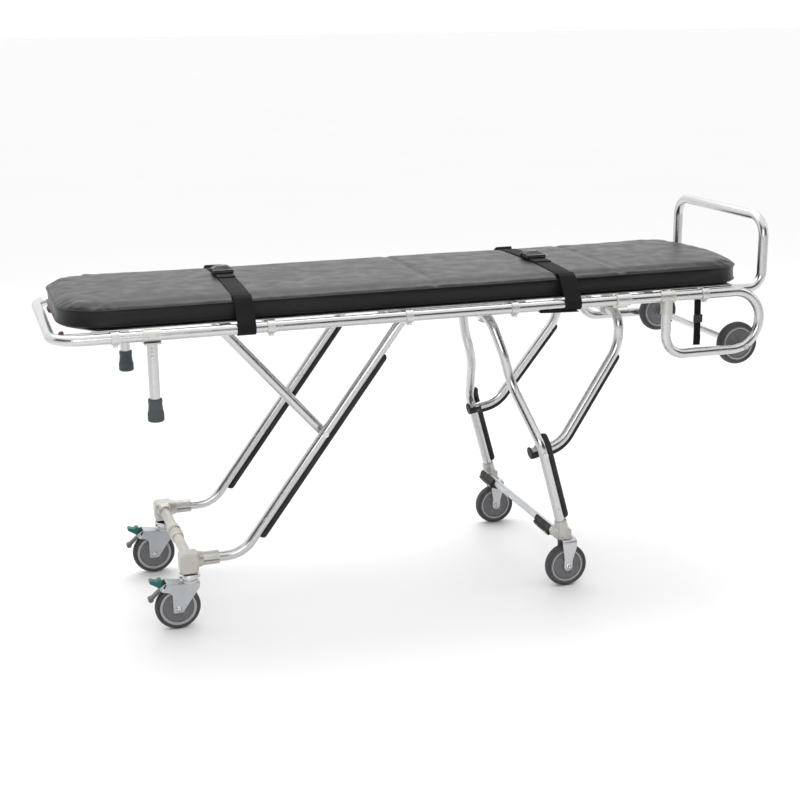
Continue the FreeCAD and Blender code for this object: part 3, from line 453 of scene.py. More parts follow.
def stud(name, profile, place, axis, count=20, edge=0):
    """A turned solid that is closed at its axis, such as a rivet, bolt head or seal."""
    outline = [(CORE, profile[0][1]), *profile, (CORE, profile[-1][1])]
    if edge:
        outline = rounded(outline, [0] + [edge] * len(profile) + [0], 3)
    return turned(name, outline, place, axis, count)


def slab(name, outline, thickness, place, first, second, bevel=0.0008):
    """A flat outline, given along two directions, made thick about its plane, its edges rounded."""
    normal = first.cross(second).normalized() * (thickness / 2)
    flat = [place + first * a + second * b for a, b in outline]
    count = len(flat)
    verts = [point - normal for point in flat] + [point + normal for point in flat]
    faces = [tuple(range(count))[::-1], tuple(range(count, 2 * count))]
    faces += [(i, (i + 1) % count, count + (i + 1) % count, count + i) for i in range(count)]
    piece = mesh_piece(name, verts, faces)
    edges = piece.modifiers.new("Bevel", "BEVEL")
    edges.width = bevel
    edges.segments = 3
    edges.angle_limit = math.radians(35)
    edges.harden_normals = True
    return piece


def bar(start, end, radius, end_radius=None):
    """A round or tapered bar between two points, for blending."""
    bm = bmesh.new()
    span = end - start
    turn = span.to_track_quat("Z", "Y").to_matrix().to_4x4()
    bmesh.ops.create_cone(bm, cap_ends=True, segments=32, radius1=radius,
                          radius2=radius if end_radius is None else end_radius,
                          depth=span.length, matrix=Matrix.Translation((start + end) / 2) @ turn)
    return from_bmesh("bar", bm)


def block(place, size, turn=None):
    """A box about a place, for blending."""
    bm = bmesh.new()
    turn = turn.to_4x4() if turn else Matrix()
    bmesh.ops.create_cube(bm, size=1.0, matrix=Matrix.Translation(place) @ turn @ Matrix.Diagonal((*size, 1)))
    return from_bmesh("block", bm)


def blended(name, members, voxel, rounds):
    """Members melted into one casting with soft inner corners."""
    piece = joined(name, members)
    remesh = piece.modifiers.new("Remesh", "REMESH")
    remesh.mode = "VOXEL"
    remesh.voxel_size = voxel
    smooth = piece.modifiers.new("Smooth", "SMOOTH")
    smooth.iterations = rounds
    smooth.factor = 0.6
    settled(piece)
    smooth_faces(piece.data)
    return piece


def assembled(name, members):
    """One object from finished members, their modifiers applied."""
    return joined(name, [settled(member) for member in members])


def about_y(degrees):
    """A turn about the cot's crosswise axis."""
    return Matrix.Rotation(math.radians(degrees), 3, "Y")


# ---- Mattress

PAD_LOW, PAD_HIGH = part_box("mattress")
PAD_SIDE = PAD_HIGH.y
FOOT_CORNER, HEAD_CORNER, HEAD_BOW = 0.130, 0.055, 0.062
PAD_TOP = PAD_HIGH.z - 0.003
TOP_SEAM, LOW_SEAM = PAD_HIGH.z - 0.013, PAD_LOW.z + 0.007
CROSS_FOLDS = (0.012, 0.565)
STRAPS = {
    # end: (x at the middle, slope of x along y, buckle's place across)
    "foot": (centre("foot_strap").x, 0.030, 0.070),
    "head": (centre("head_strap").x, 0.012, 0.0),
}
CELL = 0.010            # the spacing of the cover's points
SWELL_LIMIT = 0.0055    # how far a point of the cover may move as it fills
SWELL_STEPS = 20        # how long it fills for
SHEET_INSET = 0.005     # how far the flat top and base stop inside the piping


def smoothstep(value):
    value = max(0.0, min(1.0, value))
    return value * value * (3 - 2 * value)


def bell(distance, width):
    """1 at no distance, fading to 0 over a few widths."""
    return math.exp(-(distance / width) ** 2)


def strap_x(end, y):
    """Where a strap's centre line lies at a place across the pad."""
    middle, slope, _ = STRAPS[end]
    return middle + slope * y


def pad_point(along, across, inset=0.0):
    """A place on the pad's plan from 0 to 1 along it and -1 to 1 across it."""
    start, end, side = PAD_LOW.x + inset, PAD_HIGH.x - inset, PAD_SIDE - inset
    x, y = start + (end - start) * along, side * across
    at_foot = along < 0.5
    radius = (FOOT_CORNER if at_foot else HEAD_CORNER) - inset
    from_end = x - start if at_foot else end - x
    from_side = side - abs(y)
    depth = min(from_end, from_side)
    arc = radius - depth
    along_ring = max(from_end, from_side) - depth
    if arc > 0 and along_ring < arc:
        lean = math.radians(45) * (1 - along_ring / arc)
        over_end, over_side = (math.sin(lean), math.cos(lean)) if from_side <= from_end else (
            math.cos(lean), math.sin(lean))
        out = -1 if at_foot else 1
        x = (start + radius if at_foot else end - radius) + out * arc * over_end
        y = math.copysign(side - radius + arc * over_side, across)
    x -= HEAD_BOW * (y / side) ** 2 * smoothstep((x - end + 0.4) / 0.4)
    return x, y


def pad_shell():
    """The closed shell the cloth starts from, and the vertices that stay put."""
    lengths = round((PAD_HIGH.x - PAD_LOW.x) / CELL)
    widths = round(2 * PAD_SIDE / CELL)
    rim = ([(i, 0) for i in range(lengths)] + [(lengths, j) for j in range(widths)]
           + [(i, widths) for i in range(lengths, 0, -1)] + [(0, j) for j in range(widths, 0, -1)])
    levels = [(0.0012, PAD_HIGH.z - 0.007), (0.0, TOP_SEAM)]
    for share in (0.2, 0.4, 0.6, 0.8):
        levels.append((0.002 * math.sin(math.pi * share), TOP_SEAM + (LOW_SEAM - TOP_SEAM) * share))
    levels += [(0.0, LOW_SEAM), (0.0012, PAD_LOW.z + 0.003)]

    def node(i, j, inset, z):
        return (*pad_point(i / lengths, 2 * j / widths - 1, inset), z)

    verts, faces, index = [], [], {}
    for name, z in (("top", PAD_TOP), ("base", PAD_LOW.z + 0.0004)):
        for i in range(lengths + 1):
            for j in range(widths + 1):
                index[name, i, j] = len(verts)
                verts.append(node(i, j, SHEET_INSET, z))
    for i in range(lengths):
        for j in range(widths):
            square = [(i, j), (i + 1, j), (i + 1, j + 1), (i, j + 1)]
            faces.append([index["top", a, b] for a, b in square])
            faces.append([index["base", a, b] for a, b in reversed(square)])
    rings = [[index["top", i, j] for i, j in rim]]
    held = set(range((lengths + 1) * (widths + 1), len(verts)))
    for inset, z in levels:
        ring = list(range(len(verts), len(verts) + len(rim)))
        verts += [node(i, j, inset, z) for i, j in rim]
        rings.append(ring)
        if inset == 0.0:
            held.update(ring)
    rings.append([index["base", i, j] for i, j in rim])
    for upper, lower in zip(rings, rings[1:]):
        for here in range(len(rim)):
            after = (here + 1) % len(rim)
            faces.append([upper[here], lower[here], lower[after], upper[after]])
    seam = [Vector(node(i, j, 0.0, 0.0)) for i, j in rim]
    return mesh_piece("pad", verts, faces), held, seam


def inflate(piece, held):
    """Let the cover fill with air for a moment, no point moving further than the limit."""
    flat = [vert.co.copy() for vert in piece.data.vertices]
    group = piece.vertex_groups.new(name="held")
    group.add(list(held), 1.0, "REPLACE")
    cloth = piece.modifiers.new("Cloth", "CLOTH")
    settings = cloth.settings
    settings.vertex_group_mass = "held"
    settings.use_pressure = True
    settings.uniform_pressure_force = 4.0
    settings.tension_stiffness = settings.compression_stiffness = 25
    settings.bending_stiffness = 1.0
    settings.effector_weights.gravity = 0.0
    cloth.point_cache.frame_start, cloth.point_cache.frame_end = 1, SWELL_STEPS
    for step in range(1, SWELL_STEPS + 1):
        bpy.context.scene.frame_set(step)
    settled(piece)
    bpy.context.scene.frame_set(1)
    for vert, start in zip(piece.data.vertices, flat):
        moved = vert.co - start
        if moved.length > SWELL_LIMIT:
            vert.co = start + moved.normalized() * SWELL_LIMIT


def from_rim(x, y):
    """How far a place is from the nearest side or end of the pad."""
    return min(PAD_SIDE - abs(y), x - PAD_LOW.x, PAD_HIGH.x - x)


def pucker(x, y):
    """Creases that run in from the seam, strongest round the foot corners."""
    height = 0.0
    for side in (-1, 1):
        nook = Vector((PAD_LOW.x + FOOT_CORNER, side * (PAD_SIDE - FOOT_CORNER), 0))
        offset = Vector((x, y, 0)) - nook
        if offset.x < 0.03 and offset.y * side > -0.03:
            turn = math.atan2(offset.y * side, -offset.x)
            ripple = math.sin(turn * 17 + 3.2 * math.sin(turn * 5 + side))
            fade = smoothstep((offset.length - 0.045) / 0.07) * smoothstep(turn / 0.3 + 0.4)
            fade *= smoothstep((0.03 - offset.x) / 0.05) * smoothstep((offset.y * side + 0.03) / 0.05)
            height += 0.0020 * ripple * fade * smoothstep((0.165 - offset.length) / 0.05)
    run = noise.noise(Vector((x * 26, y * 26, 3.0))) + 0.6 * noise.noise(Vector((x * 60, y * 40, 9.0)))
    return height + 0.0011 * run * bell(from_rim(x, y), 0.05)


def pad_relief(x, y):
    """How far the pad's top stands above its crowned form."""
    wander = 0.006 * noise.noise(Vector((y * 6, 0.5, 0)))
    height = 0.0016 * noise.noise(Vector((x * 3.2, y * 4.5, 0))) + pucker(x, y)
    for fold in CROSS_FOLDS:
        gap = x - fold - wander
        height += 0.0014 * bell(gap, 0.05) - 0.0046 * bell(gap, 0.009)
        height += 0.0008 * bell(gap - 0.028, 0.008) * noise.noise(Vector((y * 9, fold, 1)))
    for end in STRAPS:
        gap = abs(x - strap_x(end, y)) - 0.025
        height -= 0.0030 * (1 - smoothstep(gap / 0.03 + 0.5)) * smoothstep((abs(y) - 0.10) / 0.14 + 0.4)
    return height


def mattress():
    """The foam pad in its black vinyl cover, with piped seams round top and base."""
    pad, held, seam = pad_shell()
    inflate(pad, held)
    for vert in pad.data.vertices:
        x, y, z = vert.co
        share = smoothstep((z - TOP_SEAM - 0.001) / 0.006)
        if share > 0:
            vert.co.z += share * (pad_relief(x, y) + 0.0025 * smoothstep(from_rim(x, y) / 0.16))
        elif LOW_SEAM + 0.002 < z < TOP_SEAM - 0.002:
            bulge = 0.0022 * noise.noise(Vector((x * 7, y * 9, z * 8)))
            ripple = 0.0010 * noise.noise(Vector((x * 30, y * 30, z * 16)))
            out = Vector((x - max(PAD_LOW.x + 0.2, min(PAD_HIGH.x - 0.2, x)), math.copysign(0.2, y), 0))
            vert.co += out.normalized() * (bulge + ripple)
    surface = pad.modifiers.new("Subdivision", "SUBSURF")
    surface.levels = surface.render_levels = 1
    settled(pad)
    smooth_faces(pad.data)
    add(pad, "frame", "pad_vinyl", stands_for=["mattress"])
    for name, z in (("top_piping", TOP_SEAM), ("base_piping", LOW_SEAM)):
        line = [Vector((point.x, point.y, z)) for point in resampled(seam + seam[:1], 0.009)[:-1]]
        piping = sweep(name, line, Z, ellipse(0.0046, 0.0040, 10), closed=True)
        add(piping, "frame", "pad_vinyl")
    return pad


pad = mattress()


def pad_height(x, y):
    """The height of the pad's top at a place on its plan."""
    hit, place, _, _ = pad.ray_cast(Vector((x, y, PAD_HIGH.z + 0.1)), -Z)
    return place.z if hit else PAD_HIGH.z


# ---- Straps and buckles

RAIL_SIDE, RAIL_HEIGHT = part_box("side_rails")[1].y - TUBE, centre("side_rails").z
BELT, BELT_GAP = 0.0024, 0.0020    # a belt's thickness, and its middle's distance from a tube


def belt_line(end):
    """A belt's centre line from under one rail, over the pad, to under the other."""
    out = RAIL_SIDE + TUBE + BELT_GAP
    under = RAIL_HEIGHT - TUBE - BELT_GAP
    shoulder = PAD_SIDE + 0.0035
    half = bent([(0, RAIL_SIDE - 0.022, under), (0, out, under), (0, out, RAIL_HEIGHT + 0.008),
                 (0, shoulder, PAD_HIGH.z - 0.004), (0, shoulder - 0.02, PAD_HIGH.z + 0.0042)],
                mm([15.5, 20, 12]), 0.003)
    top = []
    inner = shoulder - 0.024
    for step in range(91):
        y = -inner + 2 * inner * step / 90
        spots = [pad_height(strap_x(end, y + dy) + dx, y + dy)
                 for dx in (-0.02, 0, 0.02) for dy in (-0.012, 0, 0.012)]
        top.append(Vector((0, y, sum(spots) / len(spots) + 0.0022)))
    near = [Vector((0, -point.y, point.z)) for point in half]
    line = resampled(near + top + half[::-1], 0.005)
    for point in line:
        point.x = strap_x(end, point.y)
    return line


def outward(line):
    """The outer side of a belt at each of its points."""
    return [X.cross(along).normalized() for along in tangents(line)]


def buckle(name, place, tilt):
    """A side-release buckle: housing, prong part with its two arms, and the bars for the belt."""
    turn = Matrix.Rotation(tilt, 3, "Z")
    first, second = turn @ X, turn @ Y

    def at(x, y, z):
        return place + turn @ Vector(mm((x, y, z)))

    members = [blended("housing", [
        block(at(0, 10, 8), mm((46, 34, 16)), turn),
        block(at(0, 10, 11), mm((34, 26, 16)), turn),
        block(at(0, 27, 5.8), mm((56, 10, 11.6)), turn),
        block(at(0, -6, 6.8), mm((54, 12, 13.6)), turn),
    ], 0.0011, 6)]
    arm = [(17, -12), (29, -10), (29.5, 2), (26.5, 16), (22.5, 19), (19, 6)]
    for side in (-1, 1):
        outline = rounded(mm([(side * x, y) for x, y in arm]), mm([2, 4, 4, 3, 2, 3]))
        members.append(slab("arm", outline, 0.0120, at(0, 0, 7.4), first, second, 0.0018))
    outline = rounded(mm([(-28, -33), (28, -33), (28.5, -8), (-28.5, -8)]), mm([5, 5, 3, 3]))
    members.append(slab("plate", outline, 0.0110, at(0, 0, 6.6), first, second, 0.0022))
    for y, z, thick in ((-31.5, 5.5, 6.0), (-21.5, 9.8, 5.2), (31.5, 5.5, 6.0)):
        line = [at(x, y, z) for x in (-26.5, -12, 0, 12, 26.5)]
        members.append(sweep("bar", line, Z, ellipse(*mm((thick, thick)), 14)))
    for side in (-1, 1):
        line = [at(26.2 * side, y, 4.5) for y in (24, 28, 32.5)]
        members.append(sweep("cheek", line, Z, rounded_bar(*mm((5.2, 6.8, 1.4)))))
    return assembled(name, members)


def belts():
    """Both belts with their buckles and doubled ends, and a short belt end under the right-hand rail."""
    for end, (_, slope, across) in STRAPS.items():
        line = belt_line(end)
        belt = sweep(end + "_belt", line, outward(line), rounded_bar(0.0492, BELT, 0.0011, 3))
        add(belt, "frame", "webbing", stands_for=[end + "_strap"])
        over = [point + Z * 0.0030 for point in line
                if across - 0.085 < point.y < across - 0.024]
        tail = sweep(end + "_belt_tail", over, outward(over), rounded_bar(0.0488, BELT, 0.0011, 3))
        add(tail, "frame", "webbing")
        spot = Vector((strap_x(end, across), across, 0))
        heights = [pad_height(spot.x + dx, across + dy) for dx in (-0.02, 0.02) for dy in (-0.025, 0.025)]
        spot.z = max(heights) + 0.0042
        clip = buckle(end + "_buckle", spot, math.atan(-slope))
        add(clip, "frame", "buckle_plastic", stands_for=["strap_buckles"] if end == "foot" else ())
    under = RAIL_HEIGHT - TUBE - 0.0046
    start = Vector((strap_x("head", -RAIL_SIDE) + 0.015, -RAIL_SIDE - 0.003, under))
    line = resampled([start, start + Vector(mm((-50, 2, 0.6))), start + Vector(mm((-112, 4, 2.6)))], 0.01)
    add(sweep("belt_anchor_end", line, Z, rounded_bar(0.030, BELT, 0.0011, 3)), "frame", "webbing")


def tail_strap():
    """The narrow strap that hangs beside the load wheels, with its slide and folded end."""
    low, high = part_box("hanging_strap")
    middle = (low + high) / 2
    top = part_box("deck_sheet")[0].z
    section = rounded_bar(0.0215, 0.0022, 0.001, 3)
    line = []
    for step in range(31):
        share = step / 30
        sway = 0.004 * math.sin(share * 2.6) * share
        line.append(Vector((middle.x + sway, middle.y, top - share * (top - low.z))))
    add(sweep("tail_belt", line, Y, section), "frame", "webbing", stands_for=["hanging_strap"])
    hem = [point - Y * 0.0024 for point in line[-6:]]
    add(sweep("tail_hem", hem, Y, section), "frame", "webbing")
    outline = rounded_bar(0.029, 0.024, 0.003, 5)
    slide = slab("tail_slide", outline, 0.0034, line[17] - Y * 0.0032, X, Z, 0.001)
    add(settled(slide), "frame", "buckle_plastic")


belts()
tail_strap()

# ---- Wheels

TYRE, RIM = 0.0625, 0.0505
RINGS = {"caster": (0.0432, RIM), "head": (0.0440, 0.0464), "load": (0.0440, 0.0464)}


def tyre(name, place, half):
    """A solid tyre with a crowned tread and full sidewalls."""
    side = [(RIM, half - 0.0030), (0.0540, half), (0.0595, half - 0.0020), (TYRE, half * 0.35)]
    return turned(name, rounded(mirrored(side), mm([0.5, 2, 3, 10, 10, 3, 2, 0.5]), 4), place)


def hub(name, place, half):
    """A moulded hub: lip, step, dished disc with a raised band, and a boss for the axle."""
    web, lip = 0.0085, half - 0.0030
    face = [(RIM + 0.0004, lip), (0.0436, lip + 0.0002), (0.0426, lip - 0.0010), (0.0418, web + 0.0014),
            (0.0408, web + 0.0002), (0.0398, web + 0.0012), (0.0300, web + 0.0004),
            (0.0180, web + 0.0006), (0.0150, web + 0.0028), (0.0130, half + 0.0008), (0.0062, half + 0.0010)]
    return turned(name, rounded(mirrored(face), 0.0007, 3), place)


def ring(name, place, half, inner, outer):
    """The pale ring on both faces of a hub, between its disc and the tyre."""
    lip = half - 0.0022
    return turned(name, rounded(mirrored([(inner, lip), (outer, lip + 0.0003)]), 0.0005, 2), place)


def axle_bolt(name, axle, face, head, count):
    """An axle between two cheeks, with a head outside each; a head's profile starts at its cheek."""
    parts = []
    for way in (-1, 1):
        profile = [(radius, way * (face + along)) for radius, along in mm(head)]
        parts.append(stud("head", profile, axle, Y, count))
    parts.append(turned("shaft", mirrored([(CORE, face), (0.0058, face)]), axle, Y, 24))
    return joined(name, parts)


def wheels():
    """All six wheels, each on its own body."""
    for label in SIDES:
        for kind in ("caster", "head", "load"):
            body = "%s_wheel_%s" % (kind, label)
            place = centre(body + "_tyre")
            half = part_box(body + "_tyre")[1].y - place.y
            add(tyre(body + "_tread", place, half), body, "tyre_grey", stands_for=[body + "_tyre"])
            add(hub(body + "_disc", place, half), body, "hub_grey", stands_for=[body + "_hub"])
            band = ring(body + "_ring", place, half, *RINGS[kind])
            add(band, body, "ring_grey" if kind == "caster" else "ring_pale")


wheels()

# ---- Casters and brakes

STEM = pivot("caster_swivel_right").x
CHEEK, SHEET = 0.0205, 0.0028


def caster_fork(label):
    """A pressed fork with its nose and top plate, its swivel race and seal, its axle, and a flush dark patch on
    each cheek that is painted shade in the shape of a slit.
    """
    body = "caster_" + label
    axle = centre("caster_wheel_%s_tyre" % label)
    outline = rounded(
        mm([(-15, -12), (11.5, -12), (59.5, 56), (60, 70), (8, 70), (-33, 76), (-53, 64),
            (-42, 52), (-15.5, 47)]),
        mm([5, 6, 9, 3, 25, 12, 8.5, 8, 14]), 8)
    members = [slab("cheek", outline, SHEET, axle + Y * way * CHEEK, X, Z, 0.0009) for way in (-1, 1)]
    top = [(60.5, 68.8), (10, 68.8), (-6, 70.5), (-18, 72.2), (-30, 74.2)]
    heel = [(59.8, 68), (56, 56), (50, 47.5)]
    for points, up, width, corner in ((top, Z, 2 * CHEEK + SHEET, 0.0012), (heel, X, 2 * CHEEK, 0.0010)):
        line = resampled([axle + X * x + Z * z for x, z in mm(points)], 0.004)
        members.append(sweep("web", line, up, rounded_bar(width, SHEET, corner)))
    add(assembled("fork_" + label, members), body, "zinc_steel", stands_for=["caster_fork_" + label])

    stem = Vector((STEM, axle.y, 0))
    race = rounded(
        mm([(1, 131.5), (25.5, 131.5), (27, 134.5), (26.2, 138.5), (24, 140.5), (24, 142.5),
            (28.5, 144), (30, 147.5), (29.5, 153), (26.5, 156.5), (1, 156.5)]),
        mm([0, 1, 1.5, 1.5, 0.5, 0.5, 1, 2, 2, 1, 0]), 4)
    add(turned("race_" + label, race, stem, Z), body, "chrome")
    seal = rounded(mm([(1, 155.5), (23.5, 155.5), (23.5, 159), (1, 159)]), mm([0, 0.8, 0.8, 0]), 3)
    add(turned("race_seal_" + label, seal, stem, Z), body, "guard_rubber")

    face = CHEEK + SHEET / 2
    head = [(7.8, 0), (7.8, 0.8), (6.2, 1.2), (6, 2.8), (4.6, 3.4)]
    add(axle_bolt("caster_axle_" + label, axle, face, head, 72), body, "chrome")

    # Painted shade: a thin dark sheet shaped as a slit, laid almost flush on each cheek's outer face, stands for
    # the shade in a slit.
    slit, lean = rounded_bar(0.0044, 0.0120, 0.0009, 5), about_y(28)
    stops = [slab("slit_shade_patch", slit, 0.0012, axle + Vector((-0.0350, way * (face + 0.0004), 0.0690)),
                  lean @ X, lean @ Z, 0.0004) for way in (-1, 1)]
    add(assembled("fork_slit_shade_" + label, stops), body, "guard_rubber")


def brake(label):
    """The green foot pedal with its two lobes, the steel arm that presses on the tyre, and a pin."""
    body = "brake_" + label
    pin = pivot("brake_press_" + label)
    pin.y = centre("caster_wheel_%s_tyre" % label).y

    def at(x, y, z):
        return pin + Vector(mm((x, y, z)))

    lobes = rounded(
        mm([(-4, 2), (0, 10), (-1.5, 24), (-9, 27.5), (-16.5, 21.5), (-33, 28), (-36.5, 19),
            (-20, 8.5), (-10, 2)]),
        mm([1, 3, 3, 3, 4, 4, 4, 5, 1]), 5)
    pedal = blended("pedal_" + label, [
        settled(slab("lobes", lobes, 0.024, pin, X, Z, 0.0035)),
        block(at(-8.5, 0, 7.5), mm((22, 12, 9)), about_y(42)),
    ], 0.0010, 5)
    add(pedal, body, "pedal_green", stands_for=["brake_pedal_" + label])
    arm = blended("arm_" + label, [
        bar(at(0, -15, 0), at(0, 15, 0), 0.0062),
        block(at(-17.5, 0, -15.5), mm((8.5, 16, 40)), about_y(48)),
        bar(at(-33.5, -8.5, -30), at(-33.5, 8.5, -30), 0.0078),
    ], 0.0010, 5)
    add(arm, body, "dark_steel")
    end = CHEEK + SHEET / 2
    outline = mirrored([(CORE, end + 0.0016), (0.0040, end + 0.0016), (0.0044, end + 0.0004)])
    add(turned("brake_pin_" + label, outline, pin, Y, 28), body, "chrome")


for label in SIDES:
    caster_fork(label)
    brake(label)

# ---- Foot leg castings, cross tube and bumper strips

SLEEVE = 0.0185


def foot_casting(label, side):
    """The cast elbow that joins the leg, the caster's stem and the cross tube, with its split sleeve."""
    low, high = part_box("foot_castings")
    leg_y = side * (high.y - 0.027)
    middle = Vector((low.x + 0.028, leg_y, centre("foot_cross_tube").z))
    face = rounded(mm([(-26.5, -33.5), (23, -33.5), (25, 23), (-27.5, 23)]), mm([6, 10, 7, 12]), 6)
    body = blended("elbow_" + label, [
        settled(slab("block", face, 0.0520, middle, X, Z, 0.0085)),
        bar(middle + X * 0.014, middle + X * 0.038, 0.0250, 0.0200),
        bar(middle - Y * side * 0.022, middle - Y * side * 0.040, 0.0235, 0.0195),
    ], 0.0017, 6)
    add(body, "foot_leg_frame", "cast_grey", stands_for=once("foot_castings", side))
    start = middle + X * 0.036
    length = high.x - start.x
    slit = 11
    members = []
    for flip in (-1, 1):
        wall = arc_wall(TUBE + 0.0002, SLEEVE + 0.0003, flip * slit, flip * (180 - slit), 24)
        members.append(slab("shell", wall, length, start + X * (length / 2), X.cross(Z), Z, 0.0007))
    for flip in (-1, 1):
        place = start + X * (length * 0.6) + Z * flip * (SLEEVE - 0.0001)
        members.append(stud("rivet", mm([(2.6, 0), (2.4, 0.9), (1.2, 1.4)]), place, Z * flip))
    add(assembled("sleeve_" + label, members), "foot_leg_frame", "cast_grey")
    neck = stud("stem_neck_" + label, mm([(21, 158.5), (21.5, 159), (21.5, 163)]),
                Vector((STEM, leg_y, 0)), Z, 72, 0.0008)
    add(neck, "caster_" + label, "guard_rubber")


def cross_coupling():
    """The cross tube's two-ring union at the middle."""
    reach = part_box("foot_cross_tube")[1].y
    union = mm([(14.2, 50), (17.2, 48), (17.6, 30), (19, 27), (19, 12), (17.6, 9.5), (15, 9)])
    outline = mirrored([(0.0142, reach)] + union) + [(0.0120, reach), (0.0120, -reach)]
    axis = centre("foot_cross_tube") * Vector((1, 0, 1))
    tube = turned("foot_cross_member", rounded(outline, 0.0006, 3), axis, Y)
    add(tube, "foot_leg_frame", "cast_grey", stands_for=["foot_cross_tube"])


def bumper_strip(name, line, normal, depth, width):
    """A rubber bumper bonded along a tube, hollowed to sit on it, its ends rounded off."""
    half, taper = width / 2, 0.012
    crown = [(half * math.cos(t), depth * math.sin(t)) for t in [math.pi * s / 14 for s in range(15)]]
    seat = [(-half * 0.80, -0.0030), (-half * 0.45, -0.0005), (0.0, 0.0006),
            (half * 0.45, -0.0005), (half * 0.80, -0.0030)]
    length = sum((b - a).length for a, b in zip(line, line[1:]))

    def grow(share):
        gap = min(share, 1 - share) * length
        return 0.35 + 0.65 * math.sqrt(max(0.0, 1 - (1 - min(1.0, gap / taper)) ** 2))

    return sweep(name, line, normal, crown + seat, grow=grow)


def foot_strips():
    """The long bumpers on the front of both foot legs."""
    low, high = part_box("foot_leg_guards")
    leg_y = high.y - 0.007
    top = Vector((high.x - 0.010, 0, high.z - 0.004))
    foot = Vector((low.x + 0.004, 0, low.z + 0.008))
    along = (foot - top).normalized()
    top -= along * 0.020
    foot += along * 0.070
    normal = Vector((-along.z, 0, along.x))
    axis = pivot("foot_leg_swing")
    for label, side in SIDES.items():
        ends = [end - normal * ((end - axis).dot(normal) - TUBE) + Y * side * leg_y for end in (top, foot)]
        strip = bumper_strip("foot_strip_" + label, resampled(ends, 0.004), normal, 0.0140, 0.0215)
        add(strip, "foot_leg_frame", "guard_rubber", stands_for=once("foot_leg_guards", side))


# ---- Head legs

LEG = Vector((0.262, 0, -0.965)).normalized()
LEG_TOP = Vector((0.220, 0, 0.773))
LEG_FRONT = Vector((-LEG.z, 0, LEG.x))
HEAD_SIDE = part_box("head_leg_arch")[1].y - TUBE
# Down a leg: its knee, the strip's two ends, and the bend's radius and the top end's step inwards.
KNEE, STRIP_TOP, STRIP_END = 0.350, 0.326, 0.588
KNEE_RADIUS, TOP_INWARDS = 0.060, 0.0195


def on_leg(reach, ahead=0.0, side=1.0):
    """A place along a head leg: down it from the top bar, and in front of it."""
    return LEG_TOP + LEG * reach + LEG_FRONT * ahead + Y * side * HEAD_SIDE


def head_strips():
    """The bumpers on the front of both head legs, their tops following the tubes' bend."""
    for label, side in SIDES.items():
        top = on_leg(STRIP_TOP, TUBE, side) - Y * side * TOP_INWARDS
        corners = [top, on_leg(KNEE, TUBE, side), on_leg(STRIP_END, TUBE, side)]
        line = resampled(bent(corners, [KNEE_RADIUS], 0.003), 0.003)
        strip = bumper_strip("head_strip_" + label, line, LEG_FRONT, 0.0145, 0.0215)
        add(strip, "head_leg_frame", "guard_rubber", stands_for=once("head_leg_guards", side))


def fork_width(z, axle_z):
    """Half the width of a head fork's cheek at a height."""
    if z < axle_z:
        return math.sqrt(max(0.0016 ** 2, 0.0128 ** 2 - (axle_z - z) ** 2))
    return 0.0128 + 0.0090 * smoothstep((z - axle_z - 0.012) / 0.055)


def head_fork(label, side):
    """A fork bent from one strip: rounded cheeks, rolled shoulders and a bridge over the tyre."""
    axle = centre("head_wheel_%s_tyre" % label)
    reach, foot, top = 0.0205, axle.z - 0.0126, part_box("head_forks")[1].z + 0.0090
    corners = [(0, -reach, foot), (0, -reach, top), (0, reach, top), (0, reach, foot)]
    path = resampled(bent(corners, mm([13, 13]), 0.0016), 0.0016)
    verts = []
    for point, along in zip(path, tangents(path)):
        out = X.cross(along).normalized()
        section = rounded_bar(2 * fork_width(point.z, axle.z), 0.0032, 0.0009, 2)
        shift = 0.004 * smoothstep((point.z - axle.z) / 0.06)
        base = axle + Vector((shift, point.y, point.z - axle.z))
        verts += [base + X * a + out * b for a, b in section]
    fork = mesh_piece("head_fork_" + label, verts, row_faces(len(path), len(section)))
    add(fork, "head_leg_frame", "sheet_alloy", stands_for=once("head_forks", side))
    head = [(8.8, 0), (8.8, 0.8), (7, 1.2), (6.2, 3), (3, 3.4), (2.6, 2.6)]
    bolt = axle_bolt("head_axle_" + label, axle, reach + 0.0016, head, 36)
    add(bolt, "head_leg_frame", "chrome")


def head_casting(label, side):
    """The cast foot of a head leg, its sleeve riveted to the tube, with the boss for the cross tube."""
    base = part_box("head_castings")[0].z - 0.0020
    cross = centre("head_cross_tube")
    foot = on_leg(0.628, 0, side)
    boss = [Vector((cross.x, foot.y + side * reach, cross.z)) for reach in (0.010, -0.034)]
    body = blended("head_casting_" + label, [
        bar(on_leg(0.590, 0, side), on_leg(0.640, 0, side), SLEEVE),
        block(Vector((foot.x + 0.004, foot.y, base + 0.016)), mm((34, 31, 30))),
        block(Vector((foot.x + 0.005, foot.y, base + 0.0045)), mm((40, 34, 7))),
        bar(*boss, 0.0165),
        block(Vector(((foot.x + cross.x) / 2, foot.y, cross.z)), mm((22, 30, 26))),
    ], 0.0014, 8)
    add(body, "head_leg_frame", "cast_grey", stands_for=once("head_castings", side))
    rivets = []
    for reach, radius in ((0.602, SLEEVE), (0.552, TUBE)):
        for out in (side, -side):
            place = on_leg(reach, 0, side) + Y * out * (radius - 0.0003)
            rivets.append(stud("rivet", mm([(2.8, 0), (2.5, 1), (1.2, 1.5)]), place, Y * out))
    add(joined("leg_rivets_" + label, rivets), "head_leg_frame", "screw_steel")


